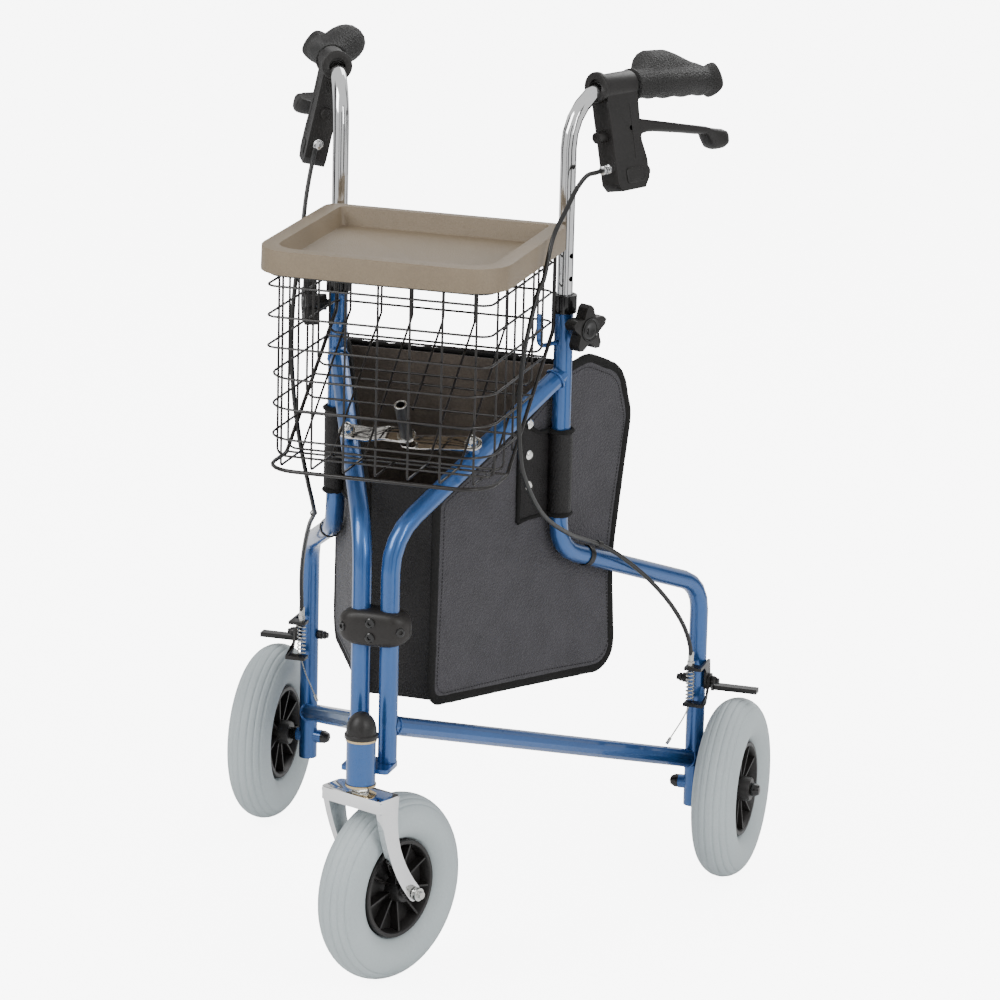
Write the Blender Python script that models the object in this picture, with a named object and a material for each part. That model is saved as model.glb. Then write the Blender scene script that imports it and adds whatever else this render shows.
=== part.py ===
"""Three-wheeled rollator walker: folding tube frame, caster, rear wheels, brakes, bag, basket and tray.

Metres, +Z up, the walker rolls towards -Y.  The origin is on the floor, midway between the
two fold axes until ORIGIN moves it under the middle of the whole walker.
Each side frame is drawn flat in its own plane: x outwards, y along the frame from its fold
axis, z up.  The left frame (+X) is modelled and the right one is its mirror image.
"""
import bmesh
import bpy
from math import atan, atan2, cos, pi, radians, sin, sqrt, tan
from mathutils import Matrix, Vector

# ---- driving dimensions -------------------------------------------------------------------
GAP = 0.0003                 # clearance between neighbouring pieces
TUBE_D = 0.0208              # painted frame tube
TUBE_WALL = 0.0013
HANDLE_D = 0.0175            # chrome tube that slides in the upright
HANDLE_WALL = 0.0015
FOLD_SPACING = 0.0312        # between the two fold axes
SPLAY = radians(25.5)        # each frame's angle from straight back, open
UPRIGHT_S = 0.259            # fold axis to upright, along the frame
LEG_S = 0.499                # fold axis to rear leg
FRONT_TUBE_Z = (0.242, 0.486)    # bottom end and the corner where the tube turns up and back
JOIN_Z = 0.620               # where the diagonal meets the upright
UPRIGHT_TOP = 0.700
UPRIGHT_CORNER_Z = 0.424
LEG_CORNER_Z = 0.336
LEG_BOTTOM = 0.076
LOWER_BAR_Z = (0.282, 0.1296)    # height at the front tube and at the leg
BEND_R = 0.042
DIAGONAL_BEND_R = 0.060

WHEEL_R = 0.1016             # 8 inch wheels
TYRE_W = 0.0498
RIM_R = 0.0535
RIM_W = 0.031
RIM_LIP = 0.006
HUB_R = 0.0125
HUB_W = 0.048
RIB_COUNT = 8
AXLE_D = 0.008
WHEEL_OFFSET = 0.0447        # rear wheel centre from the leg's axis, sideways

HEAD_Y = -0.040              # steering axis in front of the fold axes
HEAD_D = 0.031
HEAD_BORE = 0.025
HEAD_Z = (0.229, 0.2755)
BEARING_FLANGE = 0.0024
STEM_D = 0.012
TRAIL = 0.049
CASTER_TURN = radians(21.8)
CROWN_Z = (0.2065, 0.2205)
CROWN_SIZE = (0.082, 0.034)
FORK_PLATE = 0.0075
FORK_GAP = (0.0570, 0.0670)  # between the blades at the axle and at the crown

HINGE_BLOCK_Z = (0.369, 0.409)
HINGE_BLOCK_R = 0.018
HINGE_BLOCK_REACH = 0.0209   # centre of each rounded end

HANDLE_TOP_Z = 0.927
HANDLE_FALL = radians(4.6)   # the grip falls a little towards the user
HANDLE_BEND_R = 0.058
HANDLE_END_S = 0.475
HANDLE_FOOT_Z = 0.560
HOLE_D = 0.006
HOLE_PITCH = 0.025
HOLES_EACH_WAY = 3
KNOB_Z = 0.6735
KNOB_R = 0.027
KNOB_LOBES = 5
COLLAR_Z = (0.686, 0.706)
COLLAR_D = 0.027
GRIP_S = (0.3535, 0.488)
HOUSING_S = (0.302, 0.350)
HOUSING_BOTTOM = 0.811
HOUSING_W = 0.024
HOUSING_ROLL = radians(12)   # housings lean outwards round the grip
LEVER_PIVOT = (0.333, 0.876)
LEVER_W = 0.012
LEVER_TIP = (0.481, 0.846)

LINK_S = 0.125               # brace link pivots along the diagonals
LINK_RISE = 0.0175           # link plate above the diagonal's axis
LINK_OVER = 0.008            # the knee sits this far past the straight line
LINK_T = 0.003
LINK_W = 0.020
LINK_STEP = 0.0080           # the upper link steps up over the lower one
GRIP_STUB = (0.0136, 0.045)  # finger grip on the knee: diameter and length

TRAY_X = 0.135
TRAY_Y = (-0.025, 0.2195)
TRAY_Z = (0.760, 0.7853)
TRAY_RIM = 0.018
TRAY_DEPTH = 0.020
TRAY_WALL = 0.0025
BASKET_X = 0.1228
BASKET_Y = (-0.015, 0.2142)
BASKET_Z = (0.549, 0.779)
BASKET_FLOOR_Y = 0.058
BASKET_KNEE_Z = 0.672        # below this the back slopes forward to the floor
BASKET_WALL = 0.0025
HOOK_Z = (0.652, 0.690)
HOOK_S = 0.2195
HOOK_D = 0.005

BAG_IN = 0.0125              # bag panel's outer face inside the frame plane
BAG_T = 0.005
BRAKE_BOLT_Z = 0.2245
SPRING_Y = -0.028            # brake spring in front of the leg
SPRING_Z = (0.2058, 0.2435)
CABLE_D = 0.005
SIDES = 12                   # facets round a tube

TUBE_R = TUBE_D / 2
HANDLE_R = HANDLE_D / 2
TUBE_BORE_R = TUBE_R - TUBE_WALL
HALF_SPACING = FOLD_SPACING / 2
ORIGIN = Vector((0, 0.2264, 0))


# ---- materials ----------------------------------------------------------------------------
def material(name, colour, roughness, metallic=0.0):
    mat = bpy.data.materials.new(name)
    mat.use_nodes = True
    shader = mat.node_tree.nodes["Principled BSDF"]
    shader.inputs["Base Color"].default_value = (*colour, 1)
    shader.inputs["Roughness"].default_value = roughness
    shader.inputs["Metallic"].default_value = metallic
    return mat


for old in list(bpy.data.objects):
    bpy.data.objects.remove(old, do_unlink=True)

PAINT = material("blue_paint", (0.055, 0.16, 0.42), 0.3, 0.5)
CHROME = material("chrome", (0.75, 0.75, 0.75), 0.12, 1.0)
ZINC = material("zinc_steel", (0.6, 0.6, 0.58), 0.35, 1.0)
BLACK = material("black_plastic", (0.03, 0.028, 0.027), 0.5)
RUBBER = material("grip_rubber", (0.025, 0.022, 0.02), 0.85)
TYRE = material("grey_tyre", (0.48, 0.55, 0.56), 0.7)
TAUPE = material("taupe_plastic", (0.27, 0.22, 0.17), 0.55)
WIRE = material("black_wire", (0.03, 0.022, 0.018), 0.45)
BAG = material("charcoal_vinyl", (0.045, 0.043, 0.047), 0.6)


# ---- making tools -------------------------------------------------------------------------
def pivot(name, place, turn=0.0, parent=None):
    """An empty on a joint's axis; pieces are drawn in its coordinates."""
    empty = bpy.data.objects.new(name, None)
    bpy.context.collection.objects.link(empty)
    empty.matrix_world = Matrix.Translation(place) @ Matrix.Rotation(turn, 4, "Z")
    if parent:
        empty.parent = parent
        empty.matrix_parent_inverse = parent.matrix_world.inverted()
    return empty


def piece(name, bm, mat, parent, smooth=35):
    """Turn a bmesh into a named object under an empty."""
    bmesh.ops.recalc_face_normals(bm, faces=bm.faces)
    mesh = bpy.data.meshes.new(name)
    bm.to_mesh(mesh)
    bm.free()
    mesh.shade_smooth()
    mesh.set_sharp_from_angle(angle=radians(smooth))
    mesh.materials.append(mat)
    obj = bpy.data.objects.new(name, mesh)
    bpy.context.collection.objects.link(obj)
    obj.parent = parent
    return obj


def boolean(obj, bm, operation="DIFFERENCE"):
    """Cut or join a shape drawn in the same coordinates."""
    tool = piece(obj.name + "_tool", bm, BLACK, obj.parent)
    tool.matrix_basis = obj.matrix_basis.copy()
    tool.hide_render = True
    tool.display_type = "WIRE"
    modifier = obj.modifiers.new(operation.lower(), "BOOLEAN")
    modifier.operation = operation
    modifier.object = tool
    modifier.solver = "EXACT"


def rings_to_mesh(rings, closed=False):
    """Skin a list of point rings; open stacks get flat ends, a single point ends in a fan."""
    bm = bmesh.new()
    loops = [[bm.verts.new(p) for p in ring] for ring in rings]
    pairs = list(zip(loops, loops[1:] + loops[:1])) if closed else list(zip(loops, loops[1:]))
    for low, high in pairs:
        count = max(len(low), len(high))
        if count == 1:
            continue
        for i in range(count):
            j = (i + 1) % count
            if len(low) == 1:
                bm.faces.new((low[0], high[j], high[i]))
            elif len(high) == 1:
                bm.faces.new((low[i], low[j], high[0]))
            else:
                bm.faces.new((low[i], low[j], high[j], high[i]))
    if not closed:
        for end in (loops[0], loops[-1]):
            if len(end) > 1:
                bm.faces.new(end)
    return bm


def rounded_path(corners, radius, steps=4):
    """A path through its corners, each inner one replaced by an arc."""
    corners = [Vector(c) for c in corners]
    path = [corners[0]]
    for before, corner, after in zip(corners, corners[1:], corners[2:]):
        a = (before - corner).normalized()
        b = (after - corner).normalized()
        half = a.angle(b) / 2
        centre = corner + (a + b).normalized() * (radius / sin(half))
        start = corner + a * (radius / tan(half)) - centre
        end = corner + b * (radius / tan(half)) - centre
        turn = start.angle(end)
        for i in range(steps + 1):
            t = i / steps
            path.append(centre + (start * sin((1 - t) * turn) + end * sin(t * turn)) / sin(turn))
    path.append(corners[-1])
    return path


def tube_rings(path, radius, sides=SIDES):
    """Rings square to a path, turned as little as possible from one to the next."""
    rings = []
    side = None
    for i, point in enumerate(path):
        forward = (path[min(i + 1, len(path) - 1)] - path[max(i - 1, 0)]).normalized()
        if side is None:
            side = forward.orthogonal().normalized()
            if abs(forward.x) < 0.9:
                side = (Vector((1, 0, 0)) - forward * forward.x).normalized()
        side = (side - forward * side.dot(forward)).normalized()
        up = forward.cross(side)
        rings.append([point + radius * (side * cos(a) + up * sin(a))
                      for a in (2 * pi * k / sides for k in range(sides))])
    return rings


def rod(path, radius, sides=SIDES):
    return rings_to_mesh(tube_rings([Vector(p) for p in path], radius, sides))


def hollow_tube(path, radius, bore, sides=SIDES):
    """A tube open at both ends."""
    path = [Vector(p) for p in path]
    outer = tube_rings(path, radius, sides)
    inner = tube_rings(path, bore, sides)
    return rings_to_mesh(outer + inner[::-1], closed=True)


def cylinder(radius, start, end, sides=SIDES):
    return rod([start, end], radius, sides)


def lathe(profile, axis="Z", steps=20, closed=True):
    """Spin (radius, height) points round an axis; a radius of 0 is a pole."""
    def ring(radius, height):
        if radius < 1e-6:
            points = [(0, 0, height)]
        else:
            points = [(radius * cos(2 * pi * k / steps), radius * sin(2 * pi * k / steps), height)
                      for k in range(steps)]
        return [Vector(p) if axis == "Z" else Vector((p[2], p[0], p[1])) for p in points]
    return rings_to_mesh([ring(r, h) for r, h in profile], closed)


def prism(outline, low, high, axis="Z"):
    """Push a flat outline from low to high along an axis."""
    def put(a, b, c):
        return Vector((a, b, c)) if axis == "Z" else Vector((c, a, b))
    return rings_to_mesh([[put(a, b, low) for a, b in outline], [put(a, b, high) for a, b in outline]])


def box(low, high):
    outline = [(low[0], low[1]), (high[0], low[1]), (high[0], high[1]), (low[0], high[1])]
    return prism(outline, low[2], high[2])


def merged(*shapes):
    """Put separate shapes that don't meet into one bmesh."""
    result = shapes[0]
    for shape in shapes[1:]:
        mesh = bpy.data.meshes.new("shape")
        shape.to_mesh(mesh)
        shape.free()
        result.from_mesh(mesh)
        bpy.data.meshes.remove(mesh)
    return result


def moved(bm, matrix):
    bmesh.ops.transform(bm, matrix=matrix, verts=bm.verts)
    return bm


def arc(centre, radius, start, end, steps):
    return [(centre[0] + radius * cos(start + (end - start) * i / steps),
             centre[1] + radius * sin(start + (end - start) * i / steps)) for i in range(steps + 1)]


def rounded_box_outline(x, y_front, y_back, r_front, r_back, steps=5):
    return (arc((-x + r_front, y_front + r_front), r_front, pi, 1.5 * pi, steps)
            + arc((x - r_front, y_front + r_front), r_front, 1.5 * pi, 2 * pi, steps)
            + arc((x - r_back, y_back - r_back), r_back, 0, 0.5 * pi, steps)
            + arc((-x + r_back, y_back - r_back), r_back, 0.5 * pi, pi, steps))


def diagonal_z(s):
    return FRONT_TUBE_Z[1] + (JOIN_Z - FRONT_TUBE_Z[1]) * s / UPRIGHT_S


# ---- shared wheel -------------------------------------------------------------------------
def wheel(prefix, axle):
    """A grey tyre on a ribbed black rim, drawn round X at the empty's place."""
    section = TYRE_W / 2
    middle = WHEEL_R - section
    seat = RIM_R + GAP
    reach = sqrt(section ** 2 - (middle - seat) ** 2)
    open_angle = atan2(reach, middle - seat)
    profile = []
    facets = 12
    for i in range(facets + 1):
        a = open_angle + (2 * pi - 2 * open_angle) * i / facets
        profile.append((middle - section * cos(a), section * sin(a)))
    piece(prefix + "_tyre", lathe(profile, "X", 28), TYRE, axle)

    half = RIM_W / 2
    lip = RIM_R - RIM_LIP
    web = 0.0015
    bore = AXLE_D / 2 + GAP
    rim = [(RIM_R, -half), (lip, -half), (lip - 0.001, -web), (HUB_R, -web), (HUB_R, -HUB_W / 2),
           (bore, -HUB_W / 2), (bore, HUB_W / 2), (HUB_R, HUB_W / 2), (HUB_R, web),
           (lip - 0.001, web), (lip, half), (RIM_R, half)]
    obj = piece(prefix + "_rim", lathe(rim, "X", 28), BLACK, axle)
    for k in range(RIB_COUNT):
        rib = box((-half * 0.75, HUB_R - 0.002, -0.0012), (half * 0.75, lip + 0.002, 0.0012))
        boolean(obj, moved(rib, Matrix.Rotation(2 * pi * k / RIB_COUNT, 4, "X")), "UNION")


# ---- head, hinge block and caster ---------------------------------------------------------
def head():
    """Head tube with its shelf and fold pins, bearings, dome cap and the clamped hinge block."""
    steering = pivot("steering_axis", (0, HEAD_Y, 0))
    plate_top = FRONT_TUBE_Z[0] - GAP
    plate_t = 0.005
    obj = piece("head_tube", cylinder(HEAD_D / 2, (0, 0, HEAD_Z[0]), (0, 0, HEAD_Z[1]), 32), PAINT, steering)
    reach = HALF_SPACING + TUBE_R
    shelf = prism(rounded_box_outline(reach, 0.010, -HEAD_Y + TUBE_R, 0.004, 0.009), plate_top - plate_t,
                  plate_top)
    boolean(obj, shelf, "UNION")
    pins = [cylinder(TUBE_BORE_R - 3 * GAP, (side * HALF_SPACING, -HEAD_Y, plate_top - plate_t / 2),
                     (side * HALF_SPACING, -HEAD_Y, plate_top + 0.022)) for side in (-1, 1)]
    for pin in pins:
        boolean(obj, pin, "UNION")
    boolean(obj, cylinder(HEAD_BORE / 2, (0, 0, HEAD_Z[0] - 0.01), (0, 0, HEAD_Z[1] + 0.01), 32))

    bore = STEM_D / 2 + GAP
    flange = HEAD_D / 2 + 0.001
    cup = HEAD_BORE / 2 - GAP
    for name, seat, up in (("head_bearing_upper", HEAD_Z[1] + GAP, 1),
                           ("head_bearing_lower", HEAD_Z[0] - GAP, -1)):
        ring = [(bore, seat + up * BEARING_FLANGE), (flange, seat + up * BEARING_FLANGE), (flange, seat),
                (cup, seat), (cup, seat - up * 0.009), (bore, seat - up * 0.009)]
        piece(name, lathe(ring), ZINC, steering)

    base = HEAD_Z[1] + 2 * GAP + BEARING_FLANGE
    dome = [(0.0140, base), (0.0175, base), (0.0178, base + 0.004), (0.0165, base + 0.0055)]
    dome += [(0.0165 * cos(a), base + 0.0055 + 0.023 * sin(a)) for a in (pi / 2 * k / 5 for k in range(1, 5))]
    dome += [(0, base + 0.0285), (0, base + 0.0255)]
    dome += [(0.0140 * sin(a), base + 0.0055 + 0.020 * cos(a)) for a in (pi / 2 * k / 5 for k in range(1, 6))]
    piece("dome_cap", lathe(dome), BLACK, steering)

    fold_centre = pivot("hinge_block_centre", (0, 0, 0))
    outline = (arc((HINGE_BLOCK_REACH, 0), HINGE_BLOCK_R, -pi / 2, pi / 2, 12)
               + arc((-HINGE_BLOCK_REACH, 0), HINGE_BLOCK_R, pi / 2, 1.5 * pi, 12))
    low, high = HINGE_BLOCK_Z
    for name, side in (("hinge_block_front", -1), ("hinge_block_rear", 1)):
        obj = piece(name, prism(outline, low, high), BLACK, fold_centre)
        far = 0.1
        keep = (GAP / 2, far) if side > 0 else (-far, -GAP / 2)
        boolean(obj, box((-far, keep[0], low - far), (far, keep[1], high + far)), "INTERSECT")
        for x in (-HALF_SPACING, HALF_SPACING):
            boolean(obj, cylinder(TUBE_R + GAP, (x, 0, low - 0.01), (x, 0, high + 0.01), 24))
        for z in (low + 0.012, high - 0.012):
            boolean(obj, cylinder(0.0022, (0, -far, z), (0, far, z), 10))


def caster():
    """Fork, stem, axle and front wheel, trailing behind the steering axis."""
    steer = pivot("caster_axis", (0, HEAD_Y, 0), -CASTER_TURN)
    half = CROWN_SIZE[0] / 2
    crown = prism(rounded_box_outline(half, -CROWN_SIZE[1] / 2, CROWN_SIZE[1] / 2, 0.005, 0.005, 2),
                  CROWN_Z[0], CROWN_Z[1])
    fork = piece("fork", crown, CHROME, steer)
    crown_point, bend, end = Vector((0, CROWN_Z[1] - 0.002)), Vector((0.003, 0.150)), Vector((TRAIL, WHEEL_R))
    centre_line = [(1 - t) ** 2 * crown_point + 2 * t * (1 - t) * bend + t * t * end
                   for t in (i / 10 for i in range(11))]
    front, back = [], []
    for i, point in enumerate(centre_line):
        along = (centre_line[min(i + 1, 10)] - centre_line[max(i - 1, 0)]).normalized()
        width = 0.009 + 0.006 * max(0.0, 1 - i / 5) ** 1.5
        across = Vector((-along.y, along.x)) * width
        front.append(point - across)
        back.append(point + across)
    tip = atan2(*(front[-1] - end).yx)
    outline = [tuple(p) for p in front] + arc(tuple(end), 0.009, tip, tip + pi,
                                              6)[1:-1] + [tuple(p) for p in back[::-1]]
    for side in (-1, 1):
        blade = prism(outline, 0, FORK_PLATE, "X")
        for v in blade.verts:
            t = (v.co.z - WHEEL_R) / (CROWN_Z[1] - WHEEL_R)
            inner = (FORK_GAP[0] + (FORK_GAP[1] - FORK_GAP[0]) * t) / 2
            v.co.x = side * (inner + v.co.x)
        boolean(fork, blade, "UNION")
    boolean(fork, cylinder(STEM_D / 2 + GAP, (0, 0, 0.1), (0, 0, 0.3)))
    boolean(fork, cylinder(AXLE_D / 2 + GAP, (-0.06, TRAIL, WHEEL_R), (0.06, TRAIL, WHEEL_R)))

    shank = STEM_D / 2
    nut = 0.0098
    nut_low = (CROWN_Z[1] + GAP, HEAD_Z[0] - 2 * GAP - BEARING_FLANGE)
    top = HEAD_Z[1] + 2 * GAP + BEARING_FLANGE
    stem = piece("caster_stem", cylinder(shank, (0, 0, CROWN_Z[0] + 0.001), (0, 0, top + 0.012), 20), ZINC,
                 steer)
    boolean(stem, cylinder(nut, (0, 0, nut_low[0]), (0, 0, nut_low[1]), 6), "UNION")
    boolean(stem, cylinder(nut, (0, 0, top), (0, 0, top + 0.009), 6), "UNION")

    outer = FORK_GAP[0] / 2 + FORK_PLATE + GAP + 0.0005
    r = AXLE_D / 2
    profile = [(0, -outer - 0.010), (r, -outer - 0.010), (r, -outer - 0.006), (0.0072, -outer - 0.006),
               (0.0072, -outer), (r, -outer), (r, outer), (0.0072, outer), (0.0072, outer + 0.006),
               (r, outer + 0.006), (r, outer + 0.010), (0, outer + 0.010)]
    axle = pivot("front_wheel_axis", steer.matrix_world @ Vector((0, TRAIL, WHEEL_R)), -CASTER_TURN, steer)
    piece("front_axle", lathe(profile, "X", 18, closed=False), ZINC, axle)
    wheel("front", axle)


# ---- left side frame ----------------------------------------------------------------------
def side_frame(fold):
    """The two bent tubes, the lower bar, collar, hook, bag panel and axle."""
    sideways = Vector((cos(SPLAY), sin(SPLAY), 0))     # the wheels' axle direction in frame coordinates
    leg = Vector((0, LEG_S, 0))
    spine = rounded_path([(0, UPRIGHT_S, UPRIGHT_TOP), (0, UPRIGHT_S, UPRIGHT_CORNER_Z),
                          (0, LEG_S, LEG_CORNER_Z), (0, LEG_S, LEG_BOTTOM)], BEND_R)
    tube = piece("left_rear_tube", hollow_tube(spine, TUBE_R, TUBE_BORE_R), PAINT, fold)
    axle_at = leg + Vector((0, 0, WHEEL_R))
    inner, outer = TUBE_R + 0.006, TUBE_R + 0.003
    boolean(tube, cylinder(0.0078, axle_at - sideways * inner, axle_at + sideways * outer), "UNION")
    boolean(tube, cylinder(AXLE_D / 2 + GAP, axle_at - sideways * 0.03, axle_at + sideways * 0.03))
    bolt_at = leg + Vector((0, 0, BRAKE_BOLT_Z))
    boolean(tube, cylinder(0.003 + GAP, bolt_at - sideways * 0.03, bolt_at + sideways * 0.03, 10))
    knob_at = Vector((0, UPRIGHT_S, KNOB_Z))
    out = Vector((1, 0, 0))
    boolean(tube, cylinder(0.003 + GAP, knob_at + out * 0.004, knob_at + out * 0.02, 10))

    corner = Vector((0, 0, FRONT_TUBE_Z[1]))
    join = Vector((0, UPRIGHT_S, JOIN_Z))
    foot = Vector((0, 0, FRONT_TUBE_Z[0]))
    front = rounded_path([foot, corner, join], DIAGONAL_BEND_R)
    tube = piece("left_front_tube", rod(front, TUBE_R), PAINT, fold)
    frame = link_frame()
    boolean(tube, moved(cylinder(0.0065, (0, 0, -LINK_RISE), (0, 0, -GAP), 14), frame), "UNION")
    boolean(tube, moved(cylinder(0.003, (0, 0, -0.003), (0, 0, LINK_T + 0.002), 10), frame), "UNION")
    boolean(tube, moved(cylinder(0.006, (0, 0, LINK_T + GAP), (0, 0, LINK_T + 0.0035)), frame), "UNION")
    reach = (join - corner).normalized() * 0.02
    bore = rounded_path([foot - Vector((0, 0, 0.02)), corner, join + reach], DIAGONAL_BEND_R)
    boolean(tube, rod(bore, TUBE_BORE_R))
    boolean(tube, cylinder(TUBE_R + GAP, (0, UPRIGHT_S, 0.5), (0, UPRIGHT_S, 0.8), 22))

    bar_start, bar_end = Vector((0, 0, LOWER_BAR_Z[0])), Vector((0, LEG_S, LOWER_BAR_Z[1]))
    bar = piece("left_lower_bar", hollow_tube([bar_start, bar_end], TUBE_R, TUBE_BORE_R), PAINT, fold)
    boolean(bar, cylinder(TUBE_R + GAP, (0, 0, 0.2), (0, 0, 0.4), 22))
    boolean(bar, cylinder(TUBE_R + GAP, (0, LEG_S, 0.05), (0, LEG_S, 0.3), 22))

    sleeve = TUBE_R + GAP
    throat = HANDLE_R + GAP
    step = UPRIGHT_TOP + GAP
    ring = [(throat, step), (sleeve, step), (sleeve, COLLAR_Z[0]), (COLLAR_D / 2, COLLAR_Z[0]),
            (COLLAR_D / 2, COLLAR_Z[1]), (throat, COLLAR_Z[1])]
    collar = piece("left_collar", lathe(ring, steps=24), BLACK, fold)
    collar.location = (0, UPRIGHT_S, 0)

    hook = rounded_path([(0, UPRIGHT_S - TUBE_R - 2 * GAP, HOOK_Z[0] + HOOK_D / 2),
                         (0, HOOK_S, HOOK_Z[0] + HOOK_D / 2), (0, HOOK_S, HOOK_Z[1])], 0.009)
    piece("left_basket_hook", rod(hook, HOOK_D / 2, 10), PAINT, fold)

    corners = [(0.080, 0.300), (0.100, 0.282), (0.345, 0.266), (0.368, 0.292), (0.364, 0.400),
               (0.384, JOIN_Z - 0.100), (0.380, JOIN_Z - 0.048), (0.357, JOIN_Z - 0.020),
               (0.300, JOIN_Z + 0.004), (0.285, JOIN_Z - 0.008), (0.215, JOIN_Z - 0.042),
               (0.085, JOIN_Z - 0.112)]
    panel = prism(corners, -BAG_IN - BAG_T, -BAG_IN, "X")
    piece("left_bag_panel", panel, BAG, fold)

    hub = WHEEL_OFFSET + HUB_W / 2
    spacer = WHEEL_OFFSET - HUB_W / 2 - GAP
    r = AXLE_D / 2
    profile = [(0, -inner - 0.011), (0.005, -inner - 0.009), (0.0075, -inner - 0.004), (0.0075, -inner - GAP),
               (r, -inner - GAP), (r, outer + GAP), (0.007, outer + GAP), (0.007, spacer), (r, spacer),
               (r, hub + GAP), (0.0075, hub + GAP), (0.0075, hub + 0.005), (0.005, hub + 0.009),
               (0, hub + 0.010)]
    axle = piece("left_rear_axle", lathe(profile, "X", 18, closed=False), BLACK, fold)
    axle.matrix_basis = Matrix.Translation(axle_at) @ Matrix.Rotation(SPLAY, 4, "Z")


def link_frame():
    """Brace link pivot on the diagonal: x outwards, y up the slope, z square to both brace links."""
    slope = (JOIN_Z - FRONT_TUBE_Z[1]) / UPRIGHT_S
    tilt = atan(slope / cos(SPLAY))
    turn = Matrix.Rotation(SPLAY, 4, "Z") @ Matrix.Rotation(tilt, 4, "X")
    normal = turn.to_3x3() @ Vector((0, 0, 1))
    place = Vector((0, LINK_S, diagonal_z(LINK_S))) + normal * LINK_RISE
    return Matrix.Translation(place) @ turn


def brace_link(name, fold, side, stepped):
    """A flat link from its diagonal's stud to the knee; the stepped one rides over the other."""
    world = fold.matrix_world @ link_frame()
    span = world.translation.x
    knee = Vector((-span, -LINK_OVER, 0))
    length = knee.length
    ends = 5
    stations = [-LINK_W / 2 * cos(pi / 2 * k / ends) for k in range(ends + 1)]
    stations += [length * t for t in (0.35, 0.5, 0.65, 0.8)]
    stations += [length + 0.0085 * sin(pi / 2 * k / ends) for k in range(ends + 1)]
    rings = []
    for d in stations:
        half = LINK_W / 2
        if d < 0:
            half = sqrt(max(half ** 2 - d ** 2, 0.002 ** 2))
        if d > length * 0.8:
            half = 0.0085
        if d > length:
            half = sqrt(max(half ** 2 - (d - length) ** 2, 0.002 ** 2))
        t = min(max((d / length - 0.35) / 0.3, 0), 1)
        lift = stepped * t * t * (3 - 2 * t)
        rings.append([Vector((d, y, z)) for y, z in ((-half, lift), (half, lift), (half, lift + LINK_T),
                                                     (-half, lift + LINK_T))])
    strip = rings_to_mesh(rings)
    aim = Matrix.Rotation(atan2(knee.y, knee.x), 4, "Z")
    link = piece(name, moved(strip, aim), ZINC, None)
    hole = cylinder(0.003 + GAP, (0, 0, -0.01), (0, 0, 0.01))
    link.matrix_world = world
    boolean(link, hole)
    if side < 0:
        mirror_onto(link, name, world.translation)
    return world @ (Matrix.Translation(knee))


def finger_grip(knee):
    """The hollow rubber grip that lifts the knee to fold the walker."""
    radius, length = GRIP_STUB[0] / 2, GRIP_STUB[1]
    base = LINK_STEP + LINK_T + GAP
    profile = [(0, base), (radius, base), (radius, base + length), (radius - 0.002, base + length),
               (radius - 0.002, base + 0.020), (0, base + 0.020)]
    grip = piece("finger_grip", lathe(profile, steps=20, closed=False), RUBBER, None)
    grip.matrix_world = knee


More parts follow.
